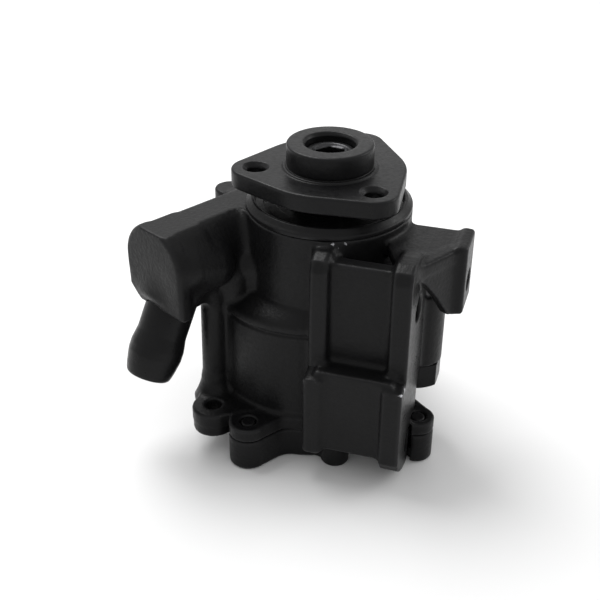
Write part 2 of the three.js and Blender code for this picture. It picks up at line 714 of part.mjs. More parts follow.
function makeEar() {
  const webLow = EAR_TOP_Z - EAR_WEB_THICKNESS;
  const innerX = EAR_PLATE_INNER_X;
  const plateWall = 0.5;
  const cornerFront = [innerX + plateWall, EAR_PLATE_FRONT_Y];
  const cornerBracket = [BRACKET_RIGHT_OUTER_X - 1, EAR_CORNER_Y];
  const webPoints = [
    [EAR_WEB_INNER_X, EAR_PLATE_BACK_Y - 1],
    [cornerBracket[0] - 3, cornerBracket[1] - 2],
    cornerBracket,
    cornerFront,
    [innerX + plateWall, EAR_PLATE_BACK_Y - 1],
  ];
  const web = prism(webPoints, webLow, EAR_TOP_Z);
  const inward = new THREE.Vector2(...EAR_RIB_INWARD).multiplyScalar(EAR_RIB_THICKNESS);
  const ribPoints = [
    [cornerBracket, EAR_TOP_Z - 1, webLow - 1],
    [cornerFront, EAR_TOP_Z - 1, EAR_PLATE_BOTTOM_Z],
  ].flatMap(([[x, y], high, low]) =>
    [high, low].flatMap((z) => [
      new THREE.Vector3(x, y, z),
      new THREE.Vector3(x + inward.x, y + inward.y, z),
    ]),
  );
  const rib = convex(ribPoints);
  const high = EAR_TOP_Z + EAR_PLATE_RISE;
  const radius = EAR_CORNER_RADIUS;
  const outline = new THREE.Shape();
  outline.moveTo(EAR_PLATE_FRONT_Y, high - radius);
  outline.lineTo(EAR_PLATE_FRONT_Y, EAR_PLATE_BOTTOM_Z + radius);
  outline.quadraticCurveTo(
    EAR_PLATE_FRONT_Y,
    EAR_PLATE_BOTTOM_Z,
    EAR_PLATE_FRONT_Y + radius,
    EAR_PLATE_BOTTOM_Z,
  );
  outline.lineTo(EAR_PLATE_BACK_Y - radius, EAR_PLATE_BOTTOM_Z);
  outline.quadraticCurveTo(
    EAR_PLATE_BACK_Y,
    EAR_PLATE_BOTTOM_Z,
    EAR_PLATE_BACK_Y,
    EAR_PLATE_BOTTOM_Z + radius,
  );
  outline.lineTo(EAR_PLATE_BACK_Y, high - radius);
  outline.quadraticCurveTo(EAR_PLATE_BACK_Y, high, EAR_PLATE_BACK_Y - radius, high);
  outline.lineTo(EAR_PLATE_FRONT_Y + radius, high);
  outline.quadraticCurveTo(EAR_PLATE_FRONT_Y, high, EAR_PLATE_FRONT_Y, high - radius);
  const plate = plateAcrossX(outline, innerX, innerX + EAR_PLATE_THICKNESS);
  return join(web, rib, plate);
}

function makeValveColumn() {
  const [x, y] = VALVE_CENTRE;
  return band(
    [[x, y, VALVE_COLUMN_RADIUS], [x - VALVE_COLUMN_REACH, y, VALVE_COLUMN_RADIUS]],
    VALVE_COLUMN_BOTTOM_Z,
    VALVE_COLUMN_TOP_Z,
  );
}

function inletSection(segments) {
  const half = Array.from({ length: segments + 1 }, (_, i) => {
    const angle = (i * Math.PI) / segments;
    return [INLET_RADIUS * Math.cos(angle), INLET_CENTRE_Z + INLET_RADIUS * Math.sin(angle)];
  });
  return [...half, [-INLET_RADIUS, INLET_BOTTOM_Z + 5], [-INLET_RADIUS + 8, INLET_BOTTOM_Z],
    [INLET_RADIUS, INLET_BOTTOM_Z]];
}

function makeInletBoss() {
  const section = inletSection(12);
  const ends = [INLET_FACE_DISTANCE, 0];
  const points = ends.flatMap((distance) =>
    section.map(([lateral, z]) => inletPoint(distance, INLET_LATERAL + lateral, z)),
  );
  const arch = convex(points);
  const bulge = ball(INLET_BULGE_RADIUS, INLET_BULGE_CENTRE);
  const [x, y] = REAR_BOSS_CENTRE;
  const rearBoss = band(
    [[x, y, REAR_BOSS_RADIUS], [x * 0.6, y * 0.6, REAR_BOSS_RADIUS]],
    REAR_BOSS_BOTTOM_Z,
    INLET_CENTRE_Z,
    HOLE_SEGMENTS,
  );
  const rearTop = at(disc(REAR_BOSS_RADIUS, INLET_CENTRE_Z - 1, REAR_BOSS_TOP_Z), x, y);
  return join(arch, bulge, rearBoss, rearTop);
}

function outletPoint(distance) {
  return new THREE.Vector3(0, 0, OUTLET_CENTRE_Z).addScaledVector(OUTLET_DIRECTION, distance);
}

function makeHousing() {
  const outletBoss = bar(
    outletPoint(CHAMBER_RADIUS + 1),
    outletPoint(OUTLET_FACE_DISTANCE),
    OUTLET_BOSS_RADIUS,
    RING_SEGMENTS,
  );
  const body = join(
    makeBarrels(),
    makeRearFlange(),
    makeColumn(),
    makeBracket(),
    makeEar(),
    makeValveColumn(),
    makeInletBoss(),
    outletBoss,
  );
  const chamber = disc(
    CHAMBER_RADIUS,
    HOUSING_BOTTOM_Z - BOOLEAN_OVERRUN,
    CHAMBER_TOP_Z,
    BARREL_SEGMENTS,
  );
  const shaftPassage = disc(SHAFT_PASSAGE_RADIUS, CHAMBER_TOP_Z - 1, SEAL_Z);
  const sealSeat = disc(SEAL_OUTER_RADIUS + SEAT_GAP, SEAL_Z - FACE_GAP, BEARING_Z - FACE_GAP + 0.1);
  const bearingSeat = disc(
    BEARING_OUTER_RADIUS + SEAT_GAP,
    BEARING_Z - FACE_GAP,
    HOUSING_TOP_Z + BOOLEAN_OVERRUN,
    BARREL_SEGMENTS,
  );
  const retainerSeat = disc(
    UPPER_BARREL_RADIUS + FACE_GAP,
    HOUSING_TOP_Z,
    HOUSING_TOP_Z + 20,
    BARREL_SEGMENTS,
  );
  const [valveX, valveY] = VALVE_CENTRE;
  const valveBore = at(
    disc(VALVE_BORE_RADIUS + RUNNING_GAP, VALVE_COLUMN_BOTTOM_Z - 1, VALVE_BORE_TOP_Z),
    valveX,
    valveY,
  );
  const screwHoles = SCREW_CENTRES.map(([x, y]) =>
    at(
      disc(SCREW_RADIUS + SEAT_GAP, -BOOLEAN_OVERRUN, REAR_FLANGE_TOP_Z + 1, HOLE_SEGMENTS),
      x,
      y,
    ),
  );
  const headRoom = SCREW_CENTRES.map(([x, y]) =>
    at(disc(SCREW_HEAD_RADIUS + FACE_GAP, -BOOLEAN_OVERRUN, SCREW_HEAD_TOP_Z, HOLE_SEGMENTS), x, y),
  );
  const lugHole = at(
    disc(LUG_HOLE_RADIUS, HOUSING_BOTTOM_Z - LUG_DROP - 1, REAR_FLANGE_TOP_Z + 1, HOLE_SEGMENTS),
    ...LUG_CENTRE,
  );
  const rightInner = BRACKET_RIGHT_OUTER_X - BRACKET_PLATE_THICKNESS;
  const upperHole = barAlongX(
    rightInner - BOOLEAN_OVERRUN,
    BRACKET_RIGHT_OUTER_X + BOOLEAN_OVERRUN,
    BRACKET_UPPER_HOLE,
    BRACKET_HOLE_RADIUS,
  );
  const lowerHole = barAlongX(
    rightInner - BOOLEAN_OVERRUN,
    BRACKET_RIGHT_OUTER_X + BOOLEAN_OVERRUN,
    BRACKET_LOWER_HOLE,
    BRACKET_HOLE_RADIUS,
  );
  const earHole = barAlongX(
    EAR_PLATE_INNER_X - 3,
    EAR_PLATE_INNER_X + EAR_PLATE_THICKNESS + BOOLEAN_OVERRUN,
    [(EAR_PLATE_FRONT_Y + EAR_PLATE_BACK_Y) / 2, EAR_HOLE_Z],
    EAR_HOLE_RADIUS,
  );
  const outletPort = bar(
    outletPoint(OUTLET_FACE_DISTANCE - OUTLET_PORT_DEPTH),
    outletPoint(OUTLET_FACE_DISTANCE + BOOLEAN_OVERRUN),
    OUTLET_PORT_RADIUS,
    RING_SEGMENTS,
  );
  const outletGallery = bar(
    outletPoint(CHAMBER_RADIUS - 1),
    outletPoint(OUTLET_FACE_DISTANCE - OUTLET_PORT_DEPTH + 1),
    OUTLET_PORT_RADIUS / 2,
  );
  const stubSocket = bar(
    STUB_MOUTH.clone().addScaledVector(STUB_AXIS, -STUB_SEAT_DEPTH - FACE_GAP),
    STUB_MOUTH.clone().addScaledVector(STUB_AXIS, 12),
    STUB_RADIUS + RUNNING_GAP,
    RING_SEGMENTS,
  );
  const ductStart = inletPoint(STUB_DISTANCE - 4, INLET_LATERAL, INLET_CENTRE_Z - 3);
  const ductEnd = inletPoint(22, INLET_LATERAL - 5, INLET_CENTRE_Z - 4);
  const duct = bar(ductStart, ductEnd, INLET_DUCT_RADIUS);
  const riser = bar(
    STUB_MOUTH.clone().addScaledVector(STUB_AXIS, -STUB_SEAT_DEPTH),
    ductStart,
    INLET_DUCT_RADIUS,
  );
  const feed = bar(
    ductEnd,
    new THREE.Vector3(-CHAMBER_RADIUS + 3, -2, CHAMBER_TOP_Z - 6),
    INLET_DUCT_RADIUS - 1.4,
  );
  return cut(
    body,
    chamber,
    shaftPassage,
    sealSeat,
    bearingSeat,
    retainerSeat,
    valveBore,
    ...screwHoles,
    ...headRoom,
    lugHole,
    upperHole,
    lowerHole,
    earHole,
    outletPort,
    outletGallery,
    stubSocket,
    riser,
    duct,
    feed,
  );
}

// ---------------------------------------------------------------- covers, seals and screws

function makeRearCover() {
  const [noseX, noseY] = COVER_NOSE_CENTRE;
  const nose = band(
    [[noseX, noseY, COVER_NOSE_RADIUS], [noseX / 2, noseY / 2, COVER_NOSE_RADIUS * 2]],
    0,
    REAR_COVER_THICKNESS,
    HOLE_SEGMENTS,
  );
  const plateRoom = block(
    BRACKET_RIGHT_OUTER_X - BRACKET_PLATE_THICKNESS - 1,
    BRACKET_RIGHT_OUTER_X + 1,
    BRACKET_PAD_FRONT_Y,
    BRACKET_LOWER_HOLE[0] + BRACKET_LOWER_BOSS_RADIUS + 1,
    -BOOLEAN_OVERRUN,
    REAR_COVER_THICKNESS + BOOLEAN_OVERRUN,
  );
  const spigot = disc(
    CHAMBER_RADIUS - RUNNING_GAP,
    REAR_COVER_THICKNESS - 1,
    REAR_COVER_THICKNESS + COVER_SPIGOT_HEIGHT,
    BARREL_SEGMENTS,
  );
  const bushSeat = disc(
    SHAFT_REAR_RADIUS + BUSH_WALL + SEAT_GAP * 2,
    BUSH_Z - FACE_GAP * 2,
    BUSH_TOP_Z + 1,
  );
  const sealGroove = ring(
    CHAMBER_RADIUS - RUNNING_GAP,
    CHAMBER_RADIUS + O_RING_RADIUS * 2 + O_RING_GROOVE_GAP * 2,
    REAR_COVER_THICKNESS - O_RING_RADIUS * 2,
    REAR_COVER_THICKNESS + 1,
    BARREL_SEGMENTS,
  );
  const screwHoles = SCREW_CENTRES.flatMap(([x, y]) => [
    at(
      disc(SCREW_RADIUS + FACE_GAP, -BOOLEAN_OVERRUN, REAR_COVER_THICKNESS + 1, HOLE_SEGMENTS),
      x,
      y,
    ),
    at(disc(SCREW_HEAD_RADIUS + FACE_GAP, -BOOLEAN_OVERRUN, SCREW_HEAD_TOP_Z, HOLE_SEGMENTS), x, y),
  ]);
  const plate = join(rearOutline(0, REAR_COVER_THICKNESS), nose);
  const body = join(cut(plate, plateRoom, sealGroove), spigot);
  return cut(body, bushSeat, ...screwHoles);
}

function makeCoverScrew(x, y) {
  const headLow = SCREW_HEAD_RECESS;
  const headHigh = headLow + SCREW_HEAD_HEIGHT;
  const end = REAR_FLANGE_TOP_Z - SCREW_END_RECESS;
  const profile = [
    [0, headLow],
    [SCREW_HEAD_RADIUS - 0.5, headLow],
    [SCREW_HEAD_RADIUS, headLow + 0.5],
    [SCREW_HEAD_RADIUS, headHigh],
    [SCREW_RADIUS, headHigh],
    [SCREW_RADIUS, end - 0.6],
    [SCREW_RADIUS - 0.6, end],
    [0, end],
  ];
  const socket = prism(
    hexagon(SCREW_SOCKET_ACROSS_FLATS),
    headLow - BOOLEAN_OVERRUN,
    headLow + SCREW_SOCKET_DEPTH,
  );
  return at(cut(revolve(profile, HOLE_SEGMENTS), socket), x, y);
}

function makeRetainer() {
  const outer = UPPER_BARREL_RADIUS;
  const rimInner = outer - RETAINER_RIM_WIDTH;
  const chamfer = RETAINER_HEIGHT * 0.6;
  const floor = RETAINER_TOP_Z - RETAINER_RECESS_DEPTH;
  const spigotLow = HOUSING_TOP_Z - RETAINER_SPIGOT_HEIGHT + FACE_GAP;
  return revolve(
    [
      [RETAINER_HOLE_RADIUS, spigotLow + 0.6],
      [RETAINER_HOLE_RADIUS + 4, spigotLow + 0.6],
      [RETAINER_HOLE_RADIUS + 5.6, spigotLow],
      [BEARING_OUTER_RADIUS - SEAT_GAP, spigotLow],
      [BEARING_OUTER_RADIUS - SEAT_GAP, RETAINER_Z],
      [outer, RETAINER_Z],
      [outer, RETAINER_TOP_Z - chamfer],
      [rimInner + 0.6, RETAINER_TOP_Z],
      [rimInner, RETAINER_TOP_Z],
      [rimInner - 0.6, floor],
      [RETAINER_HOLE_RADIUS, floor],
    ],
    BARREL_SEGMENTS,
  );
}

function makeInletTube() {
  const end = STUB_LENGTH;
  const outer = STUB_RADIUS;
  const bead = STUB_RADIUS + STUB_BEAD_RISE;
  const profile = [
    [STUB_BORE_RADIUS, -STUB_SEAT_DEPTH],
    [outer, -STUB_SEAT_DEPTH],
    [outer, end - 16],
    [bead, end - 11.5],
    [bead, end - 8],
    [outer, end - 4.5],
    [outer - 0.6, end],
    [STUB_BORE_RADIUS + 0.2, end],
    [STUB_BORE_RADIUS, end - 0.4],
  ];
  const points = profile.map(([radius, length]) => new THREE.Vector2(radius, length));
  points.push(points[0].clone());
  const geometry = new THREE.LatheGeometry(points, RING_SEGMENTS);
  const turn = new THREE.Quaternion().setFromUnitVectors(new THREE.Vector3(0, 1, 0), STUB_AXIS);
  geometry.applyQuaternion(turn);
  geometry.translate(...STUB_MOUTH.toArray());
  return toSolid(geometry);
}

function makeShaftSeal() {
  const lip = BEARING_BORE_RADIUS + RUNNING_GAP;
  const high = SEAL_TOP_Z;
  return revolve([
    [lip + 1.6, SEAL_Z],
    [SEAL_OUTER_RADIUS, SEAL_Z],
    [SEAL_OUTER_RADIUS, high],
    [lip + 3.4, high],
    [lip + 3.4, high - 1.6],
    [SEAL_OUTER_RADIUS - 1.4, high - 1.6],
    [SEAL_OUTER_RADIUS - 1.4, SEAL_Z + 2.2],
    [lip + 3, SEAL_Z + 2.2],
    [lip, SEAL_Z + 5.2],
    [lip, SEAL_Z + 3.4],
  ]);
}

// ---------------------------------------------------------------- shaft group

function splineOutline(tip, root) {
  return Array.from({ length: SPLINE_TEETH * 2 }, (_, i) => {
    const radius = i % 2 === 0 ? tip : root;
    const angle = (i * Math.PI) / SPLINE_TEETH;
    return [radius * Math.cos(angle), radius * Math.sin(angle)];
  });
}

function makeShaft() {
  const bottom = BUSH_Z - FACE_GAP;
  const splineLow = ROTOR_Z - CIRCLIP_THICKNESS - FACE_GAP * 2;
  const splineHigh = ROTOR_Z + ROTOR_WIDTH + FACE_GAP;
  const clipZ = BEARING_Z - FACE_GAP - CIRCLIP_THICKNESS;
  const grooveRadius = BEARING_BORE_RADIUS - CIRCLIP_GROOVE_DEPTH;
  const profile = [
    [0, bottom],
    [SHAFT_REAR_RADIUS - 0.8, bottom],
    [SHAFT_REAR_RADIUS, bottom + 0.8],
    [SHAFT_REAR_RADIUS, splineHigh],
    [BEARING_BORE_RADIUS - RUNNING_GAP, splineHigh + 1],
    [BEARING_BORE_RADIUS - RUNNING_GAP, clipZ - 0.1],
    [grooveRadius, clipZ - 0.1],
    [grooveRadius, clipZ + CIRCLIP_THICKNESS + 0.1],
    [BEARING_BORE_RADIUS - SEAT_GAP, clipZ + CIRCLIP_THICKNESS + 0.1],
    [BEARING_BORE_RADIUS - SEAT_GAP, BEARING_TOP_Z],
    [SHAFT_SEAT_RADIUS, BEARING_TOP_Z],
    [SHAFT_SEAT_RADIUS, SHAFT_TOP_Z - 0.8],
    [SHAFT_SEAT_RADIUS - 0.8, SHAFT_TOP_Z],
    [0, SHAFT_TOP_Z],
  ];
  const spline = prism(splineOutline(SPLINE_TIP_RADIUS, SPLINE_ROOT_RADIUS), splineLow, splineHigh);
  const clipGroove = ring(
    SPLINE_ROOT_RADIUS - 0.3,
    SPLINE_TIP_RADIUS + 1,
    ROTOR_Z - FACE_GAP - CIRCLIP_THICKNESS - 0.1,
    ROTOR_Z - FACE_GAP + 0.1,
  );
  const socket = prism(
    hexagon(SHAFT_SOCKET_ACROSS_FLATS),
    SHAFT_TOP_Z - SHAFT_SOCKET_DEPTH,
    SHAFT_TOP_Z + 1,
  );
  return cut(join(revolve(profile), cut(spline, clipGroove)), socket);
}

function makeDriveFlange() {
  const lobes = Array.from({ length: FLANGE_HOLE_COUNT }, (_, i) => {
    const angle = radians(FLANGE_HOLE_FIRST_ANGLE + (360 / FLANGE_HOLE_COUNT) * i);
    const reach = FLANGE_HOLE_CIRCLE_RADIUS;
    return [reach * Math.cos(angle), reach * Math.sin(angle)];
  });
  const plate = band(
    [[0, 0, FLANGE_DISC_RADIUS], ...lobes.map(([x, y]) => [x, y, FLANGE_LOBE_RADIUS])],
    DRIVE_FLANGE_Z,
    DRIVE_FLANGE_TOP_Z,
    BARREL_SEGMENTS,
  );
  const hubLow = BEARING_TOP_Z + FACE_GAP;
  const turned = revolve(
    [
      [0, hubLow],
      [FLANGE_HUB_RADIUS, hubLow],
      [FLANGE_HUB_RADIUS, DRIVE_FLANGE_Z + 1],
      [COLLAR_RADIUS + COLLAR_STEP_WIDTH, DRIVE_FLANGE_Z + 1],
      [COLLAR_RADIUS + COLLAR_STEP_WIDTH, DRIVE_FLANGE_TOP_Z + COLLAR_STEP_HEIGHT],
      [COLLAR_RADIUS, DRIVE_FLANGE_TOP_Z + COLLAR_STEP_HEIGHT],
      [COLLAR_RADIUS, COLLAR_TOP_Z - COLLAR_CHAMFER],
      [COLLAR_RADIUS - COLLAR_CHAMFER, COLLAR_TOP_Z],
      [0, COLLAR_TOP_Z],
    ],
    BARREL_SEGMENTS,
  );
  const bore = revolve(
    [
      [0, hubLow - 1],
      [SHAFT_SEAT_RADIUS + SEAT_GAP, hubLow - 1],
      [SHAFT_SEAT_RADIUS + SEAT_GAP, COLLAR_TOP_Z - 0.6],
      [SHAFT_SEAT_RADIUS + 0.9, COLLAR_TOP_Z + 0.2],
      [0, COLLAR_TOP_Z + 0.2],
    ],
    RING_SEGMENTS,
  );
  const holes = lobes.map(([x, y]) => {
    const wide = FLANGE_HOLE_RADIUS + FLANGE_HOLE_CHAMFER;
    const top = DRIVE_FLANGE_TOP_Z;
    const profile = [
      [0, DRIVE_FLANGE_Z - 1],
      [FLANGE_HOLE_RADIUS, DRIVE_FLANGE_Z - 1],
      [FLANGE_HOLE_RADIUS, top - FLANGE_HOLE_CHAMFER],
      [wide + 0.2, top + 0.2],
      [0, top + 0.2],
    ];
    return at(revolve(profile, HOLE_SEGMENTS), x, y);
  });
  return cut(join(plate, turned), bore, ...holes);
}

// A circlip with its gap, open on the +X side.
function makeCirclip(innerRadius, zLow) {
  const outer = innerRadius + CIRCLIP_HEIGHT;
  const whole = ring(innerRadius, outer, zLow, zLow + CIRCLIP_THICKNESS);
  const gap = block(0, outer + 1, -1.5, 1.5, zLow - 1, zLow + CIRCLIP_THICKNESS + 1);
  return cut(whole, gap);
}

// ---------------------------------------------------------------- bearing

function raceProfile(landRadius, backRadius, sign) {
  const centre = BEARING_Z + BEARING_WIDTH / 2;
  const groove = BALL_RADIUS + FACE_GAP;
  const reach = Math.sqrt(groove ** 2 - (landRadius - BALL_CIRCLE_RADIUS) ** 2);
  const steps = 4;
  const arc = Array.from({ length: steps + 1 }, (_, i) => {
    const z = -reach + (2 * reach * i) / steps;
    const depth = Math.sqrt(groove ** 2 - z ** 2);
    return [BALL_CIRCLE_RADIUS + sign * depth, centre + z];
  });
  return [
    [backRadius, BEARING_Z],
    [landRadius, BEARING_Z],
    ...arc,
    [landRadius, BEARING_TOP_Z],
    [backRadius, BEARING_TOP_Z],
  ];
}

function makeOuterRing() {
  const land = BALL_CIRCLE_RADIUS + BALL_RADIUS - RACE_LAND_DEPTH;
  return revolve(raceProfile(land, BEARING_OUTER_RADIUS, 1));
}

function makeInnerRing() {
  const land = BALL_CIRCLE_RADIUS - BALL_RADIUS + RACE_LAND_DEPTH;
  return revolve(raceProfile(land, BEARING_BORE_RADIUS, -1));
}

function ballCentres() {
  return Array.from({ length: BALL_COUNT }, (_, i) => {
    const angle = (i * 2 * Math.PI) / BALL_COUNT;
    const x = BALL_CIRCLE_RADIUS * Math.cos(angle);
    const y = BALL_CIRCLE_RADIUS * Math.sin(angle);
    return [x, y, BEARING_Z + BEARING_WIDTH / 2];
  });
}

function makeCage() {
  const middle = BEARING_Z + BEARING_WIDTH / 2;
  const half = BALL_RADIUS + CAGE_RIM;
  const sleeve = ring(
    BALL_CIRCLE_RADIUS - CAGE_HALF_THICKNESS,
    BALL_CIRCLE_RADIUS + CAGE_HALF_THICKNESS,
    middle - half,
    middle + half,
  );
  const pockets = ballCentres().map(([x, y, z]) => {
    const inner = new THREE.Vector3(x, y, 0).multiplyScalar(0.8).setZ(z);
    const outer = new THREE.Vector3(x, y, 0).multiplyScalar(1.2).setZ(z);
    return bar(inner, outer, BALL_RADIUS + FACE_GAP, HOLE_SEGMENTS);
  });
  return cut(sleeve, ...pockets);
}

// ---------------------------------------------------------------- pumping set

function camRadius(angle) {
  return CAM_MINOR_RADIUS + CAM_RISE * Math.sin(angle) ** 2;
}

function camOutline(extra) {
  const steps = 48;
  return Array.from({ length: steps }, (_, i) => {
    const angle = (i * 2 * Math.PI) / steps;
    const radius = camRadius(angle) + extra;
    return [radius * Math.cos(angle), radius * Math.sin(angle)];
  });
}

function dowelPositions() {
  return [[DOWEL_CIRCLE_RADIUS, 0], [-DOWEL_CIRCLE_RADIUS, 0]];
}

function dowelHoles(zLow, zHigh) {
  return dowelPositions().map(([x, y]) =>
    at(disc(DOWEL_RADIUS + RUNNING_GAP, zLow, zHigh, HOLE_SEGMENTS), x, y),
  );
}

function makeCamRing() {
  const high = CAM_RING_Z + CAM_RING_WIDTH;
  const outer = disc(CHAMBER_RADIUS - FACE_GAP, CAM_RING_Z, high, BARREL_SEGMENTS);
  const inner = prism(camOutline(0), CAM_RING_Z - 1, high + 1);
  return cut(outer, inner, ...dowelHoles(CAM_RING_Z - 1, high + 1));
}

function vaneAngle(index) {
  return ((index + 0.5) * 2 * Math.PI) / VANE_COUNT;
}

function makeRotor() {
  const high = ROTOR_Z + ROTOR_WIDTH;
  const outer = disc(ROTOR_RADIUS, ROTOR_Z, high, BARREL_SEGMENTS);
  const bore = prism(
    splineOutline(SPLINE_TIP_RADIUS + RUNNING_GAP, SPLINE_ROOT_RADIUS + RUNNING_GAP),
    ROTOR_Z - 1,
    high + 1,
  );
  const slotHalf = VANE_THICKNESS / 2 + RUNNING_GAP / 2;
  const slots = Array.from({ length: VANE_COUNT }, (_, i) => {
    const slot = block(
      VANE_INNER_RADIUS - FACE_GAP,
      ROTOR_RADIUS + 1,
      -slotHalf,
      slotHalf,
      ROTOR_Z - 1,
      high + 1,
    );
    return slot.rotate([0, 0, THREE.MathUtils.radToDeg(vaneAngle(i))]);
  });
  return cut(outer, bore, ...slots);
}

function makeVane() {
  const tip = ROTOR_RADIUS - 0.1;
  const half = VANE_THICKNESS / 2;
  const outline = [
    [VANE_INNER_RADIUS, -half],
    [tip - 0.4, -half],
    [tip, -half * 0.4],
    [tip, half * 0.4],
    [tip - 0.4, half],
    [VANE_INNER_RADIUS, half],
  ];
  return prism(outline, ROTOR_Z + RUNNING_GAP, ROTOR_Z + ROTOR_WIDTH - RUNNING_GAP);
}

function kidneyPorts(zLow, zHigh) {
  const inner = ROTOR_RADIUS - 3;
  const outer = CAM_MINOR_RADIUS + 1.4;
  return [45, 135, 225, 315].map((middle) => {
    const shape = new THREE.Shape();
    shape.absarc(0, 0, outer, radians(middle - 20), radians(middle + 20), false);
    shape.absarc(0, 0, inner, radians(middle + 20), radians(middle - 20), true);
    const geometry = new THREE.ExtrudeGeometry(shape, {
      depth: zHigh - zLow,
      bevelEnabled: false,
      curveSegments: 6,
    });
    geometry.translate(0, 0, zLow);
    return toSolid(geometry);
  });
}

function makeFrontPlate() {
  const high = FRONT_PLATE_Z + FRONT_PLATE_THICKNESS;
  const body = disc(CHAMBER_RADIUS - FACE_GAP, FRONT_PLATE_Z, high, BARREL_SEGMENTS);
  const bore = disc(SHAFT_PASSAGE_RADIUS, FRONT_PLATE_Z - 1, high + 1);
  const ports = kidneyPorts(FRONT_PLATE_Z - 1, high + 1);
  const dowels = dowelHoles(FRONT_PLATE_Z - 1, FRONT_PLATE_Z + 4);
  return cut(body, bore, ...ports, ...dowels);
}

function makePressurePlate() {
  const high = PRESSURE_PLATE_Z + PRESSURE_PLATE_THICKNESS;
  const middle = PRESSURE_PLATE_Z + PRESSURE_PLATE_THICKNESS / 2;
  const outer = CHAMBER_RADIUS - FACE_GAP;
  const body = disc(outer, PRESSURE_PLATE_Z, high, BARREL_SEGMENTS);
  const bore = disc(SPLINE_TIP_RADIUS + FACE_GAP * 2, PRESSURE_PLATE_Z - 1, high + 1);
  const clipRoom = disc(SPLINE_TIP_RADIUS + 1.6, high - 2.2, high + 1);
  const springSeat = disc(PLATE_SPRING_SEAT_RADIUS, PRESSURE_PLATE_Z - 1, PRESSURE_PLATE_Z + PLATE_RECESS);
  const half = O_RING_RADIUS + O_RING_GROOVE_GAP;
  const groove = ring(outer - half * 2, outer + 1, middle - half, middle + half, BARREL_SEGMENTS);
  const dowels = dowelHoles(high - 2.5, high + 1);
  const feeds = [90, 270].map((angle) => {
    const spot = directionXY(angle).multiplyScalar(18.6);
    return at(disc(1.8, PRESSURE_PLATE_Z - 1, high + 1, HOLE_SEGMENTS), spot.x, spot.y);
  });
  return cut(body, bore, clipRoom, springSeat, groove, ...dowels, ...feeds);
}

// A conical disc spring that presses the plate against the cam ring.
function makePlateSpring() {
  const low = PLATE_SPRING_Z;
  const high = PLATE_SPRING_Z + PLATE_SPRING_HEIGHT;
  return revolve([[15.4, low], [16, low + 1], [10.6, high], [10, high - 1]]);
}

function makeDowel(x, y) {
  const low = PRESSURE_PLATE_Z + PRESSURE_PLATE_THICKNESS - 2.2;
  const high = FRONT_PLATE_Z + 3.7;
  return at(disc(DOWEL_RADIUS, low, high, HOLE_SEGMENTS), x, y);
}

function makeBush() {
  const inner = SHAFT_REAR_RADIUS + SEAT_GAP;
  return ring(inner, SHAFT_REAR_RADIUS + BUSH_WALL + SEAT_GAP, BUSH_Z, BUSH_TOP_Z);
}

// ---------------------------------------------------------------- flow valve

function makeSpool() {
  const low = VALVE_SPOOL_Z;
  const high = VALVE_SPOOL_TOP_Z;
  const neckLow = low + (VALVE_SPOOL_LENGTH - VALVE_SPOOL_NECK_LENGTH) / 2;
  const neckHigh = neckLow + VALVE_SPOOL_NECK_LENGTH;
  const body = revolve(
    [
      [0, low],
      [VALVE_BORE_RADIUS - 0.6, low],
      [VALVE_BORE_RADIUS, low + 0.6],
      [VALVE_BORE_RADIUS, neckLow],
      [VALVE_SPOOL_NECK_RADIUS, neckLow],
      [VALVE_SPOOL_NECK_RADIUS, neckHigh],
      [VALVE_BORE_RADIUS, neckHigh],
      [VALVE_BORE_RADIUS, high - 0.6],
      [VALVE_BORE_RADIUS - 0.6, high],
      [0, high],
    ],
    RING_SEGMENTS,
  );
  const hollow = disc(RELIEF_BORE_RADIUS, low - 1, high - 2.4, HOLE_SEGMENTS);
  return at(cut(body, hollow), ...VALVE_CENTRE);
}

function makeReliefSeat() {
  const low = VALVE_SPOOL_Z + 0.5;
  const outer = RELIEF_BORE_RADIUS - RUNNING_GAP;
  return at(ring(RELIEF_SEAT_HOLE_RADIUS, outer, low, low + RELIEF_SEAT_HEIGHT, 16), ...VALVE_CENTRE);
}

const RELIEF_BALL_Z = VALVE_SPOOL_Z + 0.5 + RELIEF_SEAT_HEIGHT + RELIEF_BALL_RADIUS + SEAT_GAP;

function makeReliefSpring() {
  const low = RELIEF_BALL_Z + RELIEF_BALL_RADIUS + SEAT_GAP;
  const high = VALVE_SPOOL_TOP_Z - 2.4 - SEAT_GAP;
  const radius = RELIEF_BORE_RADIUS - RUNNING_GAP - RELIEF_SPRING_WIRE_RADIUS - 0.2;
  const spring = coil(radius, RELIEF_SPRING_WIRE_RADIUS, low, high, RELIEF_SPRING_TURNS);
  return at(spring, ...VALVE_CENTRE);
}

function makeValveSpring() {
  const low = VALVE_PLUG_TOP_Z + SEAT_GAP;
  const high = VALVE_SPOOL_Z - SEAT_GAP;
  const wire = VALVE_SPRING_WIRE_RADIUS;
  return at(coil(VALVE_SPRING_RADIUS, wire, low, high, VALVE_SPRING_TURNS), ...VALVE_CENTRE);
}

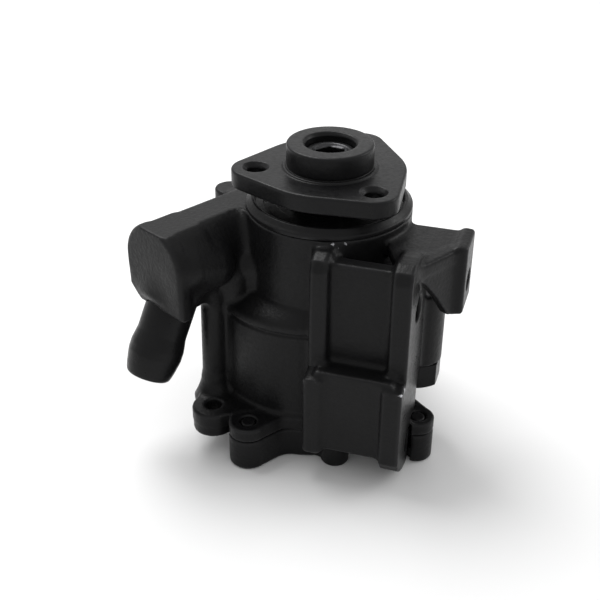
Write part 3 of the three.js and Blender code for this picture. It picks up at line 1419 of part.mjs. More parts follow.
function makeValvePlug() {
  const seat = VALVE_COLUMN_BOTTOM_Z - FACE_GAP;
  const hexLow = seat - VALVE_PLUG_HEX_HEIGHT;
  const half = O_RING_RADIUS + O_RING_GROOVE_GAP;
  const grooveZ = VALVE_COLUMN_BOTTOM_Z + VALVE_PLUG_SHANK_LENGTH / 2;
  const hex = prism(hexagon(VALVE_PLUG_HEX_ACROSS_FLATS), hexLow, seat);
  const chamfer = VALVE_PLUG_HEX_ACROSS_FLATS / 2;
  const cone = revolve(
    [
      [0, hexLow - 1],
      [chamfer - 1.2, hexLow - 1],
      [chamfer + 2.2, hexLow + 1.6],
      [chamfer + 2.2, seat + 1],
      [0, seat + 1],
    ],
    RING_SEGMENTS,
  );
  const shank = disc(VALVE_BORE_RADIUS, seat - 0.5, VALVE_PLUG_TOP_Z);
  const grooveInner = VALVE_BORE_RADIUS - half * 2;
  const groove = ring(grooveInner, VALVE_BORE_RADIUS + 1, grooveZ - half, grooveZ + half);
  const body = join(hex.intersect(cone), shank);
  return at(cut(body, groove), ...VALVE_CENTRE);
}

function makeValvePlugSeal() {
  const grooveZ = VALVE_COLUMN_BOTTOM_Z + VALVE_PLUG_SHANK_LENGTH / 2;
  const circle = VALVE_BORE_RADIUS - O_RING_RADIUS - O_RING_GROOVE_GAP / 2;
  return at(torus(circle, O_RING_RADIUS, grooveZ), ...VALVE_CENTRE);
}

// ---------------------------------------------------------------- assembly

const pump = new THREE.Group();

function addPiece(name, solid, material) {
  const result = solid.getMesh();
  const geometry = new THREE.BufferGeometry();
  const positions = new Float32Array(result.vertProperties);
  geometry.setAttribute("position", new THREE.BufferAttribute(positions, 3));
  geometry.setIndex(new THREE.BufferAttribute(new Uint32Array(result.triVerts), 1));
  geometry.computeVertexNormals();
  const mesh = new THREE.Mesh(geometry, material);
  mesh.name = name;
  pump.add(mesh);
  return mesh;
}

addPiece("housing", makeHousing(), blackPaint());
addPiece("rear_cover", makeRearCover(), blackPaint());
addPiece("bearing_retainer", makeRetainer(), blackPaint());
addPiece("inlet_tube", makeInletTube(), blackPaint());
SCREW_CENTRES.forEach(([x, y], i) => {
  addPiece(`cover_screw_${i + 1}`, makeCoverScrew(x, y), blackPaint());
});
const coverSealRadius = CHAMBER_RADIUS + O_RING_RADIUS + O_RING_GROOVE_GAP;
const coverSealZ = REAR_COVER_THICKNESS - O_RING_RADIUS + O_RING_GROOVE_GAP;
const coverSeal = torus(coverSealRadius, O_RING_RADIUS, coverSealZ, SEAL_SEGMENTS);
addPiece("cover_o_ring", coverSeal, rubber());

addPiece("shaft", makeShaft(), steel());
addPiece("drive_flange", makeDriveFlange(), flangePaint());
addPiece("bearing_outer_ring", makeOuterRing(), steel());
addPiece("bearing_inner_ring", makeInnerRing(), steel());
addPiece("bearing_cage", makeCage(), brass());
ballCentres().forEach((centre, i) => {
  addPiece(`bearing_ball_${i + 1}`, ball(BALL_RADIUS, centre), steel());
});
const shaftClipZ = BEARING_Z - FACE_GAP - CIRCLIP_THICKNESS;
const shaftClipRadius = BEARING_BORE_RADIUS - CIRCLIP_GROOVE_DEPTH + SEAT_GAP;
addPiece("shaft_circlip", makeCirclip(shaftClipRadius, shaftClipZ), springSteel());
addPiece("shaft_seal", makeShaftSeal(), rubber());
addPiece("rear_bush", makeBush(), brass());

addPiece("rotor", makeRotor(), darkSteel());
const rotorClipZ = ROTOR_Z - FACE_GAP - CIRCLIP_THICKNESS;
const rotorClipRadius = SPLINE_ROOT_RADIUS - 0.3 + SEAT_GAP;
addPiece("rotor_circlip", makeCirclip(rotorClipRadius, rotorClipZ), springSteel());
for (let i = 0; i < VANE_COUNT; i += 1) {
  const vane = addPiece(`vane_${i + 1}`, makeVane(), steel());
  vane.rotation.z = vaneAngle(i);
}
addPiece("cam_ring", makeCamRing(), castIron());
addPiece("front_port_plate", makeFrontPlate(), castIron());
addPiece("pressure_plate", makePressurePlate(), castIron());
const plateSealRadius = CHAMBER_RADIUS - FACE_GAP - O_RING_RADIUS - O_RING_GROOVE_GAP;
const plateSealZ = PRESSURE_PLATE_Z + PRESSURE_PLATE_THICKNESS / 2;
const plateSeal = torus(plateSealRadius, O_RING_RADIUS, plateSealZ, SEAL_SEGMENTS);
addPiece("pressure_plate_o_ring", plateSeal, rubber());
addPiece("pressure_plate_spring", makePlateSpring(), springSteel());
dowelPositions().forEach(([x, y], i) => {
  addPiece(`dowel_pin_${i + 1}`, makeDowel(x, y), steel());
});

addPiece("valve_spool", makeSpool(), steel());
addPiece("valve_spring", makeValveSpring(), springSteel());
addPiece("valve_plug", makeValvePlug(), blackPaint());
addPiece("valve_plug_o_ring", makeValvePlugSeal(), rubber());
addPiece("relief_seat", makeReliefSeat(), brass());
const reliefBall = ball(RELIEF_BALL_RADIUS, [...VALVE_CENTRE, RELIEF_BALL_Z]);
addPiece("relief_ball", reliefBall, steel());
addPiece("relief_spring", makeReliefSpring(), springSteel());

export default pump;
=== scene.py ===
import math

import bpy
import numpy as np
from mathutils import Matrix, Vector


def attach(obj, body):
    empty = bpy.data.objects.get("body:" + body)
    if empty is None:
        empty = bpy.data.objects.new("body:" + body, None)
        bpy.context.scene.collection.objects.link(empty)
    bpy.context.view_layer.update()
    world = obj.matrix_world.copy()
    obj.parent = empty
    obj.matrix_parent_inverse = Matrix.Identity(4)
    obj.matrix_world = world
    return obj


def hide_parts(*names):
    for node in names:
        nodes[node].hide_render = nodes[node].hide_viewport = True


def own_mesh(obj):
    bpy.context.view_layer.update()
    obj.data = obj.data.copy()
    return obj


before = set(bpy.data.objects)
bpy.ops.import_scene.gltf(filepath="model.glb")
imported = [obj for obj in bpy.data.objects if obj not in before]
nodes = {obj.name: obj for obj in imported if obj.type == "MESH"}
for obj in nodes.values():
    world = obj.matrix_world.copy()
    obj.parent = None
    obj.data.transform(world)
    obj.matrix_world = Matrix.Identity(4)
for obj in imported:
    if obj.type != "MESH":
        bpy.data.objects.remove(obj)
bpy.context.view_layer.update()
MM = 0.001


# ---------------------------------------------------------------- distance shapes, in mm

BEYOND = 1e9
FAR = 7.0
SLOPE_EASE = 0.8  # keeps a field's slope under 1 where its radius changes along the way


def soft_min(a, b, k):
    """Joins two shapes with a fillet of about k."""
    h = np.maximum(k - np.abs(a - b), 0) / k
    return np.minimum(a, b) - h * h * k * 0.25


def soft_max(a, b, k):
    """Keeps what both shapes share, with the edge eased by about k."""
    return -soft_min(-a, -b, k)


def blend2(a, b, edge):
    """Where two faces meet: outside distance with the edge rounded by that much."""
    a = a + edge
    b = b + edge
    inside = np.minimum(np.maximum(a, b), 0)
    return inside + np.hypot(np.maximum(a, 0), np.maximum(b, 0)) - edge


def slab(v, lo, hi):
    """Distance to the space between two parallel faces."""
    return np.abs(v - (lo + hi) / 2) - (hi - lo) / 2


def in_plan(p):
    """The same points dropped to z = 0."""
    return [p[0], p[1], p[2] * 0]


def disc(p, cx, cy, r, z0, z1, edge):
    d = np.hypot(p[0] - cx, p[1] - cy) - r
    return blend2(d, slab(p[2], z0, z1), edge)


def rod(p, a, b, r, edge):
    """A round bar from a to b, with its end edges rounded."""
    a = np.array(a, float)
    b = np.array(b, float)
    axis = b - a
    length = np.linalg.norm(axis)
    axis = axis / length
    q = [p[i] - a[i] for i in range(3)]
    t = q[0] * axis[0] + q[1] * axis[1] + q[2] * axis[2]
    radial = np.sqrt(np.maximum(q[0] ** 2 + q[1] ** 2 + q[2] ** 2 - t * t, 0)) - r
    return blend2(radial, np.abs(t - length / 2) - length / 2, edge)


def capsule(p, a, b, r0, r1):
    """A round-ended bar from a to b whose radius runs from r0 to r1."""
    a = np.array(a, float)
    b = np.array(b, float)
    axis = b - a
    t = sum((p[i] - a[i]) * axis[i] for i in range(3)) / axis.dot(axis)
    t = np.clip(t, 0, 1)
    near = sum((p[i] - a[i] - t * axis[i]) ** 2 for i in range(3))
    return np.sqrt(near) - (r0 + (r1 - r0) * t)


def cuboid(p, x0, x1, y0, y1, z0, z1, edge):
    q = [slab(p[0], x0, x1) + edge, slab(p[1], y0, y1) + edge, slab(p[2], z0, z1) + edge]
    inside = np.minimum(np.maximum(np.maximum(q[0], q[1]), q[2]), 0)
    return inside + np.sqrt(sum(np.maximum(v, 0) ** 2 for v in q)) - edge


def polygon(u, v, points):
    """Signed distance to a closed polygon in a plane."""
    pts = np.array(points, float)
    d = np.full(u.shape, BEYOND, np.float32)
    sign = np.ones(u.shape, np.float32)
    for i in range(len(pts)):
        a = pts[i]
        b = pts[i - 1]
        e = b - a
        wu = u - a[0]
        wv = v - a[1]
        t = np.clip((wu * e[0] + wv * e[1]) / e.dot(e), 0, 1)
        d = np.minimum(d, (wu - t * e[0]) ** 2 + (wv - t * e[1]) ** 2)
        c1 = v >= a[1]
        c2 = v < b[1]
        c3 = e[0] * wv > e[1] * wu
        flip = (c1 & c2 & c3) | (~c1 & ~c2 & ~c3)
        sign = np.where(flip, -sign, sign)
    return sign * np.sqrt(d)


def hexagon(u, v, across, turn=0.0):
    """A regular hexagon of that width across its flats."""
    d = np.full(u.shape, -BEYOND, np.float32)
    for i in range(6):
        angle = math.radians(60 * i) + turn
        d = np.maximum(d, u * math.cos(angle) + v * math.sin(angle) - across / 2)
    return d


def within(p, lo, hi, shape):
    """Works out shape only near its own box; further off it counts as FAR away."""
    mask = np.ones(p[0].shape, bool)
    for i in range(3):
        mask &= (p[i] > lo[i] - FAR) & (p[i] < hi[i] + FAR)
    out = np.full(p[0].shape, FAR, np.float32)
    if mask.any():
        out[mask] = shape([c[mask] for c in p])
    return out


# ---------------------------------------------------------------- meshing

GRID_MARGIN = 2.5  # grid steps kept free round a shape
NEAR_ZERO = 1e-6
CORNERS = 8
PULLS = 3  # times that each point is moved onto the surface
PROBE = 0.2  # a grid step's share between the points that give the slope
LEAST_SLOPE = 0.3
FURTHEST_PULL = 0.5  # of a grid step


def surface(field, lo, hi, step):
    """A quad mesh of where the field is zero, drawn onto the exact surface."""
    box_lo = np.array(lo, float)
    box_hi = np.array(hi, float)
    lo = box_lo - GRID_MARGIN * step
    hi = box_hi + GRID_MARGIN * step
    count = np.ceil((hi - lo) / step).astype(int) + 1
    axes = [lo[i] + step * np.arange(count[i]) for i in range(3)]
    grid = np.meshgrid(*[a.astype(np.float32) for a in axes], indexing="ij")
    f = field([g.ravel() for g in grid]).reshape(count)
    f = np.where(np.abs(f) < NEAR_ZERO, NEAR_ZERO, f)
    s = f < 0
    nx, ny, nz = count
    corner = np.zeros((nx - 1, ny - 1, nz - 1), np.int8)
    for dx in (0, 1):
        for dy in (0, 1):
            for dz in (0, 1):
                corner += s[dx : nx - 1 + dx, dy : ny - 1 + dy, dz : nz - 1 + dz]
    active = (corner > 0) & (corner < CORNERS)
    ids = np.full(active.shape, -1, np.int64)
    cells = np.argwhere(active)
    ids[active] = np.arange(len(cells))
    total = np.zeros((len(cells), 3))
    hits = np.zeros(len(cells))
    ends = [(0, 0, 0), (1, 0, 0), (0, 1, 0), (0, 0, 1), (1, 1, 0), (1, 0, 1), (0, 1, 1), (1, 1, 1)]
    for a in ends:
        for axis in range(3):
            if a[axis]:
                continue
            b = list(a)
            b[axis] = 1
            fa = f[cells[:, 0] + a[0], cells[:, 1] + a[1], cells[:, 2] + a[2]]
            fb = f[cells[:, 0] + b[0], cells[:, 1] + b[1], cells[:, 2] + b[2]]
            cross = (fa < 0) != (fb < 0)
            t = np.where(cross, fa / np.where(cross, fa - fb, 1), 0)
            point = np.tile(np.array(a, float), (len(cells), 1))
            point[:, axis] += t
            total += np.where(cross[:, None], point, 0)
            hits += cross
    verts = lo + step * (cells + total / np.maximum(hits, 1)[:, None])
    quads = []
    for axis in range(3):
        b, c = [(1, 2), (2, 0), (0, 1)][axis]
        first = [slice(1, n - 1) for n in count]
        first[axis] = slice(0, count[axis] - 1)
        second = list(first)
        second[axis] = slice(1, count[axis])
        sa = s[tuple(first)]
        sb = s[tuple(second)]
        where = np.argwhere(sa != sb)
        out = sa[tuple(where.T)]
        base = where + 1
        base[:, axis] -= 1
        around = []
        for ob, oc in ((0, 0), (-1, 0), (-1, -1), (0, -1)):
            cell = base.copy()
            cell[:, b] += ob
            cell[:, c] += oc
            around.append(ids[cell[:, 0], cell[:, 1], cell[:, 2]])
        around = np.stack(around, 1)
        around[~out] = around[~out][:, ::-1]
        quads.append(around)
    quads = np.concatenate(quads)
    quads = quads[(quads >= 0).all(1)]
    for _ in range(PULLS):
        p = [verts[:, i].copy() for i in range(3)]
        value = field(p)
        slope = np.zeros_like(verts)
        e = step * PROBE
        for i in range(3):
            up = [c.copy() for c in p]
            down = [c.copy() for c in p]
            up[i] += e
            down[i] -= e
            slope[:, i] = (field(up) - field(down)) / (2 * e)
        size = np.maximum(np.linalg.norm(slope, axis=1), LEAST_SLOPE)
        move = np.clip(value / size, -step * FURTHEST_PULL, step * FURTHEST_PULL)
        verts -= slope * (move / size)[:, None]
    return np.clip(verts, box_lo, box_hi), quads


def solid(name, field, lo, hi, step, material, body, node):
    """Meshes a field inside the box from lo to hi, and puts it in the place of a node."""
    verts, quads = surface(field, lo, hi, step * (1.0))
    mesh = bpy.data.meshes.new(name)
    mesh.vertices.add(len(verts))
    mesh.vertices.foreach_set("co", (verts * MM).astype(np.float32).ravel())
    mesh.loops.add(quads.size)
    mesh.loops.foreach_set("vertex_index", quads.astype(np.int32).ravel())
    mesh.polygons.add(len(quads))
    mesh.polygons.foreach_set("loop_start", (np.arange(len(quads)) * 4).astype(np.int32))
    mesh.update(calc_edges=True)
    mesh.validate()
    mesh.polygons.foreach_set("use_smooth", np.ones(len(mesh.polygons), bool))
    mesh.materials.append(material)
    obj = bpy.data.objects.new(name, mesh)
    bpy.context.scene.collection.objects.link(obj)
    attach(obj, body)
    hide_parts(node)
    return obj


# ---------------------------------------------------------------- materials

BARE_METAL = (0.42, 0.42, 0.44, 1)
# The light grey that convex edges are lightened to: partly rubbed paint, partly a painted highlight along
# the edges.
EDGE_RUB_AND_HIGHLIGHT = (0.045, 0.045, 0.047, 1)
PAINT_SPECULAR = 0.16
CHIP_NOISE = 900
CHIP_RAGGED = 0.7
CHIP_EDGE = 0.3


def nodes_of(name):
    material = bpy.data.materials.new(name)
    material.use_nodes = True
    tree = material.node_tree
    shader = tree.nodes["Principled BSDF"]
    return material, tree, shader


def link(tree, out, socket):
    tree.links.new(out, socket)


def noise(tree, coords, scale, detail, rough=0.55):
    n = tree.nodes.new("ShaderNodeTexNoise")
    n.inputs["Scale"].default_value = scale
    n.inputs["Detail"].default_value = detail
    n.inputs["Roughness"].default_value = rough
    link(tree, coords, n.inputs["Vector"])
    return n.outputs["Fac"]


def spread(tree, value, lo, hi, out_lo=0.0, out_hi=1.0):
    """Maps lo to hi onto out_lo to out_hi, held at both ends."""
    n = tree.nodes.new("ShaderNodeMapRange")
    n.inputs["From Min"].default_value = lo
    n.inputs["From Max"].default_value = hi
    n.inputs["To Min"].default_value = out_lo
    n.inputs["To Max"].default_value = out_hi
    link(tree, value, n.inputs["Value"])
    return n.outputs["Result"]


def maths(tree, kind, a, b):
    n = tree.nodes.new("ShaderNodeMath")
    n.operation = kind
    for i, v in enumerate((a, b)):
        if isinstance(v, (int, float)):
            n.inputs[i].default_value = v
        else:
            link(tree, v, n.inputs[i])
    return n.outputs["Value"]


def mix_colour(tree, factor, a, b):
    n = tree.nodes.new("ShaderNodeMix")
    n.data_type = "RGBA"
    link(tree, factor, n.inputs["Factor"])
    for name, v in (("A", a), ("B", b)):
        socket = [s for s in n.inputs if s.name == name and s.type == "RGBA"][0]
        if isinstance(v, tuple):
            socket.default_value = v
        else:
            link(tree, v, socket)
    return [s for s in n.outputs if s.type == "RGBA"][0]


def bump(tree, height, strength, distance, normal=None):
    n = tree.nodes.new("ShaderNodeBump")
    n.inputs["Strength"].default_value = strength
    n.inputs["Distance"].default_value = distance
    link(tree, height, n.inputs["Height"])
    if normal is not None:
        link(tree, normal, n.inputs["Normal"])
    return n.outputs["Normal"]


def near_point(tree, coords, place, radius):
    """1 within radius of a place, falling off with a ragged edge."""
    n = tree.nodes.new("ShaderNodeVectorMath")
    n.operation = "DISTANCE"
    link(tree, coords, n.inputs[0])
    n.inputs[1].default_value = [v * MM for v in place]
    uneven = CHIP_RAGGED * MM
    ragged = spread(tree, noise(tree, coords, CHIP_NOISE, 3, 0.7), 0.3, 0.7, -uneven, uneven)
    away = maths(tree, "ADD", n.outputs["Value"], ragged)
    return spread(tree, away, radius * MM, (radius - CHIP_EDGE) * MM)


def paint(name, base, dust, rough, grain, chips, places=(), face_x=None):
    """Black paint over metal: cast or machined grain, cloudy tone, worn edges, convex edges lightened
    partly as rubbed paint and partly as a painted highlight, and chips at places. At face_x, across X, is a
    machined face that is a little glossier."""
    material, tree, shader = nodes_of(name)
    coords = tree.nodes.new("ShaderNodeTexCoord").outputs["Object"]
    cloud = noise(tree, coords, 55, 5)
    fine = noise(tree, coords, 700, 3)
    cast = noise(tree, coords, 1700, 2)
    tone = mix_colour(tree, spread(tree, cloud, 0.3, 0.7), base, dust)
    edge = tree.nodes.new("ShaderNodeNewGeometry").outputs["Pointiness"]
    worn = spread(tree, edge, 0.535, 0.60)
    speck = spread(tree, noise(tree, coords, 260, 4, 0.7), 0.66 - chips, 0.70 - chips)
    bare = maths(tree, "MULTIPLY", worn, speck)
    for place, radius in places:
        bare = maths(tree, "MAXIMUM", bare, near_point(tree, coords, place, radius))
    # Convex edges are lightened towards that grey: partly rubbed paint, partly a painted highlight along
    # the edges.
    edge_rub_and_highlight = maths(tree, "MULTIPLY", spread(tree, edge, 0.51, 0.58), 0.35)
    rubbed_and_highlit = mix_colour(tree, edge_rub_and_highlight, tone, EDGE_RUB_AND_HIGHLIGHT)
    link(tree, mix_colour(tree, bare, rubbed_and_highlit, BARE_METAL), shader.inputs["Base Color"])
    link(tree, maths(tree, "MULTIPLY", bare, 0.85), shader.inputs["Metallic"])
    rough_mix = spread(tree, fine, 0.3, 0.7, rough - 0.06, rough + 0.08)
    rough_cloud = spread(tree, cloud, 0.3, 0.7, -0.05, 0.05)
    roughness = maths(tree, "ADD", rough_mix, rough_cloud)
    if face_x is not None:
        split = tree.nodes.new("ShaderNodeSeparateXYZ")
        link(tree, coords, split.inputs[0])
        past = spread(tree, split.outputs["X"], (face_x - 0.15) * MM, (face_x - 0.05) * MM)
        before = spread(tree, split.outputs["X"], (face_x + 0.3) * MM, (face_x + 0.2) * MM)
        flat = maths(tree, "MULTIPLY", past, before)
        roughness = maths(tree, "SUBTRACT", roughness, maths(tree, "MULTIPLY", flat, 0.06))
    link(tree, roughness, shader.inputs["Roughness"])
    n1 = bump(tree, fine, 0.35 * grain, 0.0004)
    n2 = bump(tree, cast, 0.25 * grain, 0.00015, n1)
    link(tree, n2, shader.inputs["Normal"])
    shader.inputs["Specular IOR Level"].default_value = PAINT_SPECULAR
    return material


def metal(name, colour, dark, rough, scratch=0.3, metallic=1.0):
    """An even surface that clouds between two tones, with fine scratches."""
    material, tree, shader = nodes_of(name)
    coords = tree.nodes.new("ShaderNodeTexCoord").outputs["Object"]
    cloud = noise(tree, coords, 90, 5)
    fine = noise(tree, coords, 1300, 3)
    link(tree, mix_colour(tree, spread(tree, cloud, 0.3, 0.7), colour, dark), shader.inputs["Base Color"])
    shader.inputs["Metallic"].default_value = metallic
    link(tree, spread(tree, fine, 0.3, 0.7, rough - 0.08, rough + 0.1), shader.inputs["Roughness"])
    link(tree, bump(tree, fine, scratch, 0.0002), shader.inputs["Normal"])
    return material


# Where the paint is chipped: (place, radius), in mm.
CHIPS = [
    ((9.7, -29.5, 90.8), 0.5),
    ((13.9, -27.7, 90.6), 0.55),
    ((11.0, -29.0, 89.6), 0.35),
    ((40.3, -46.3, 44.6), 1.0),
    ((40.5, -42.3, 44.2), 0.9),
    ((-19.5, -44.5, 18.0), 0.9),
]
BRACKET_FACE_X = 40.5
casting = paint(
    "casting",
    (0.0044, 0.0044, 0.0047, 1),
    (0.0072, 0.0072, 0.0075, 1),
    0.39,
    1.0,
    -0.03,
    CHIPS,
    BRACKET_FACE_X,
)
machined = paint("machined", (0.0048, 0.0048, 0.0051, 1), (0.0074, 0.0074, 0.0078, 1), 0.34, 0.55, -0.08)
spindle = metal("spindle", (0.07, 0.07, 0.073, 1), (0.02, 0.02, 0.021, 1), 0.36)
ground = metal("ground", (0.55, 0.55, 0.57, 1), (0.4, 0.4, 0.41, 1), 0.28)
hard = metal("hard", (0.24, 0.24, 0.25, 1), (0.15, 0.15, 0.16, 1), 0.35)
spring = metal("spring", (0.38, 0.39, 0.42, 1), (0.25, 0.25, 0.27, 1), 0.32)
iron = metal("iron", (0.22, 0.22, 0.22, 1), (0.14, 0.14, 0.14, 1), 0.5, 0.5)
bronze = metal("bronze", (0.55, 0.4, 0.18, 1), (0.42, 0.28, 0.12, 1), 0.36)
rubber = metal("rubber", (0.018, 0.018, 0.018, 1), (0.026, 0.026, 0.026, 1), 0.7, 0.4, 0.0)


# ---------------------------------------------------------------- housing

# The shaft turns about x = y = 0. The lower drum stands a little to the left of it.
DRUM_X = -7
LOWER_DRUM_RADIUS = 36
UPPER_DRUM_RADIUS = 31
DRUM_STEP_Z = 56.2
DRUM_STEP_HEIGHT = 7.6
HOUSING_TOP_Z = 91.5
GROOVE_RADIUS = 36.2
GROOVE_Z = 53.9
GROOVE_SECTION = 0.85
FLANGE_RADIUS = 37
FLANGE_Z = (12.8, 18.0)
COVER_Z = (0, 12.5)
LOBE_ROOT_SHARE = 0.55
LOBE_ROOT_RADIUS = 11.5
LOBE_FILLET = 3.0
# Cover screws: x, y and the radius of the lobe round each.
SCREWS = [(18.5, 40, 7.4), (-43, 17, 7.4), (-18.2, -43, 7.4), (42.5, -20.5, 6.2)]
SCREW_BORE_RADIUS = 3.15
SCREW_SPOTFACE_RADIUS = 5.6
LUG = (-34.2, -37.8)
LUG_RADIUS = 8
LUG_BOTTOM_Z = 8.4
VALVE_X = 38
VALVE_Y = -3.5
VALVE_BORE_RADIUS = 6.65
OUTLET_Z = 42
OUTLET_RADIUS = 10.5
OUTLET_PORT_RADIUS = 7.2
OUTLET_DRILLING_RADIUS = 3.6
# The stepped bore: radius, and the z that it runs down from (rotor) or up from (the others).
ROTOR_BORE = (26.2, 50.3)
SHAFT_BORE = (10.6, 49)
SEAL_BORE = (17.6, 66.0)
BEARING_BORE = (23.6, 76.0)
# Bolt holes through the bracket and the ear: y, z, radius, and the x range they cross.
BOLT_HOLES = [(-25, 67.5, 4.8, 32.5, 41.5), (-29, 12.5, 4.8, 32.5, 41.5), (-6.5, 72, 4.2, 47, 56)]
BOLT_HOLE_BEVEL = 1.6
INLET_Z = 77.7
INLET_LATERAL = -27.5
INLET_RADIUS = 15
INLET_OUT = (math.cos(math.radians(241.7)), math.sin(math.radians(241.7)))
INLET_SIDE = (-INLET_OUT[1], INLET_OUT[0])
STUB_TILT = math.radians(27)
STUB_AXIS = np.array(
    [INLET_OUT[0] * math.sin(STUB_TILT), INLET_OUT[1] * math.sin(STUB_TILT), -math.cos(STUB_TILT)]
)


def inlet_point(out, side, z):
    return np.array(
        [INLET_OUT[0] * out + INLET_SIDE[0] * side, INLET_OUT[1] * out + INLET_SIDE[1] * side, z]
    )


STUB_MOUTH = inlet_point(52.8, -29, 60.2)


def flange_outline(p):
    """The rear flange and cover in plan: the drum's circle with screw lobes."""
    d = np.hypot(p[0] - DRUM_X, p[1]) - FLANGE_RADIUS
    for x, y, r in SCREWS:
        ax = x * LOBE_ROOT_SHARE
        ay = y * LOBE_ROOT_SHARE
        ex = x - ax
        ey = y - ay
        t = np.clip(((p[0] - ax) * ex + (p[1] - ay) * ey) / (ex * ex + ey * ey), 0, 1)
        away = np.hypot(p[0] - ax - t * ex, p[1] - ay - t * ey)
        lobe = away - (LOBE_ROOT_RADIUS + (r - LOBE_ROOT_RADIUS) * t)
        d = soft_min(d, lobe, LOBE_FILLET)
    return d


def barrel(p):
    """The lower drum, running smoothly into a narrower one on the shaft's axis."""
    t = np.clip((p[2] - DRUM_STEP_Z) / DRUM_STEP_HEIGHT, 0, 1)
    t = t * t * (3 - 2 * t)
    cx = DRUM_X * (1 - t)
    r = LOWER_DRUM_RADIUS + (UPPER_DRUM_RADIUS - LOWER_DRUM_RADIUS) * t
    return (np.hypot(p[0] - cx, p[1]) - r) * SLOPE_EASE


# The bracket's two plates as outlines in Y and Z, and where each stands along X.
RIGHT_PLATE = [
    (-47, 44.3), (-47, 13), (-45.2, 9.6), (-40, 5.0), (-36, 2.9), (-29, 0.9), (-22, 3.2),
    (-18, 9), (-17, 15), (-16.3, 27), (-14, 34), (-5, 41), (-7, 55), (-12, 69), (-16.5, 79),
    (-20, 86), (-24, 89.2), (-29, 90), (-34.5, 90), (-38.6, 88.3), (-40, 84), (-40, 45.5),
]
LEFT_PLATE = [
    (-47, 44.3), (-47, 12), (-45.5, 10.5), (-40.5, 10.5), (-40.5, 13), (-26, 13), (-26, 86),
    (-27.5, 89), (-31, 90), (-34.5, 90), (-38.6, 88.3), (-40, 84), (-40, 45.5),
]


LEFT_PLATE_X = (3.9, 10.9)
RIGHT_PLATE_X = (33.5, BRACKET_FACE_X)
BETWEEN_PLATES = (8, 36)
RELIEF_FACE_X = 40.2
RELIEF_FRONT_Y = -27.7
RELIEF_TOP_Z = 19


def plate(p, outline, x_range, edge):
    return blend2(polygon(p[1], p[2], outline), slab(p[0], *x_range), edge)


def bracket(p):
    """Two plates joined by a foot, a web and a bridge to the drum."""
    left = plate(p, LEFT_PLATE, LEFT_PLATE_X, 2.0)
    right = plate(p, RIGHT_PLATE, RIGHT_PLATE_X, 0.9)
    beside_lobe = np.maximum(np.maximum(RELIEF_FACE_X - p[0], RELIEF_FRONT_Y - p[1]), p[2] - RELIEF_TOP_Z)
    right = np.maximum(right, -beside_lobe)
    foot = cuboid(p, *BETWEEN_PLATES, -45, -16, 12.8, 47, 1.2)
    web = cuboid(p, *BETWEEN_PLATES, -36, -30, 40, 86.7, 1.0)
    bridge = cuboid(p, *BETWEEN_PLATES, -35, -14, 40, 57, 1.0)
    d = soft_min(foot, web, 2.6)
    d = soft_min(d, bridge, 2.0)
    d = soft_min(d, left, 3.0)
    return soft_min(d, right, 3.0)


EAR_RIB_FROM = (39.5, -34)
EAR_RIB_TO = (51, -15)
EAR_RIB_LOW_Z = 83
EAR_RIB_DEEP_Z = 61.8


def ear(p):
    """The side ear: a flat web, a rib that deepens outward, and an end plate."""
    web = blend2(
        polygon(p[0], p[1], [(18, 1), (30, -25), (36.5, -36), (39.5, -34), (50.6, -15), (52, 1)]),
        slab(p[2], 83.1, 87.7),
        0.8,
    )
    direction = np.array([EAR_RIB_TO[0] - EAR_RIB_FROM[0], EAR_RIB_TO[1] - EAR_RIB_FROM[1]])
    length = float(np.hypot(*direction))
    direction = direction / length
    from_x = p[0] - EAR_RIB_FROM[0]
    from_y = p[1] - EAR_RIB_FROM[1]
    along = from_x * direction[0] + from_y * direction[1]
    across = from_x * direction[1] - from_y * direction[0]
    share = np.clip((along - 2) / (length - 4), 0, 1) ** 1.3
    lower = EAR_RIB_LOW_Z + (EAR_RIB_DEEP_Z - EAR_RIB_LOW_Z) * share
    rib = blend2(slab(across, -4.3, 0), np.maximum(p[2] - 87.2, lower - p[2]), 0.8)
    rib = np.maximum(rib, np.maximum(along - length - 1, -along - 3))
    end = cuboid(p, 50, 54.6, -15, 2, 61.5, 88.7, 1.3)
    d = soft_min(web, rib, 1.6)
    return soft_min(d, end, 2.2)


def valve_column(p):
    """The upright, flat-sided column that holds the flow-control valve."""
    x = np.maximum(0, np.abs(p[0] - 32) - 6)
    d = np.hypot(x, p[1] - VALVE_Y) - 9
    return blend2(d, slab(p[2], 34, 65), 0.8)


def arch(side, z, r, floor):
    """The inlet face's outline: a round top on straight sides, with one corner cut off."""
    top = np.hypot(side, z - INLET_Z) - r
    low = np.maximum(np.abs(side) - r, np.maximum(floor - z, z - INLET_Z))
    d = np.minimum(top, low)
    corner = (-(side + r) * 0.62 + (floor + 6.2 - z) * 0.78) - 1.2
    return np.maximum(d, corner)


def inlet(p):
    """The inlet boss: a duct from the ring, a face, and a socket for the suction stub."""
    out = p[0] * INLET_OUT[0] + p[1] * INLET_OUT[1]
    side = p[0] * INLET_SIDE[0] + p[1] * INLET_SIDE[1] - INLET_LATERAL
    face = blend2(arch(side, p[2], INLET_RADIUS, 60.4), slab(out, 57.6, 62), 0.8)
    tube = np.hypot(side, p[2] - 77.9)
    tube = blend2(tube - 14.7, slab(out, 6, 61), 0.6)
    lower = blend2(arch(side, p[2], 14.2, 60.9), slab(out, 46, 61), 1.0)
    hollow = np.hypot((out - 41) / 1.25, p[2] - 57.5) - 12.8
    lower = soft_max(lower, -hollow, 1.5)
    socket = rod(p, STUB_MOUTH + STUB_AXIS * -16, STUB_MOUTH + STUB_AXIS * 1.0, 12.2, 1.5)
    socket = np.maximum(socket, 60.6 - p[2])
    knob = capsule(p, inlet_point(53, -17.5, 78), inlet_point(44, -17.0, 76), 8.0, 9.0)
    d = soft_min(tube, lower, 3.0)
    d = soft_min(d, socket, 3.5)
    d = soft_min(d, knob, 2.5)
    d = soft_min(d, face, 2.2)
    return d


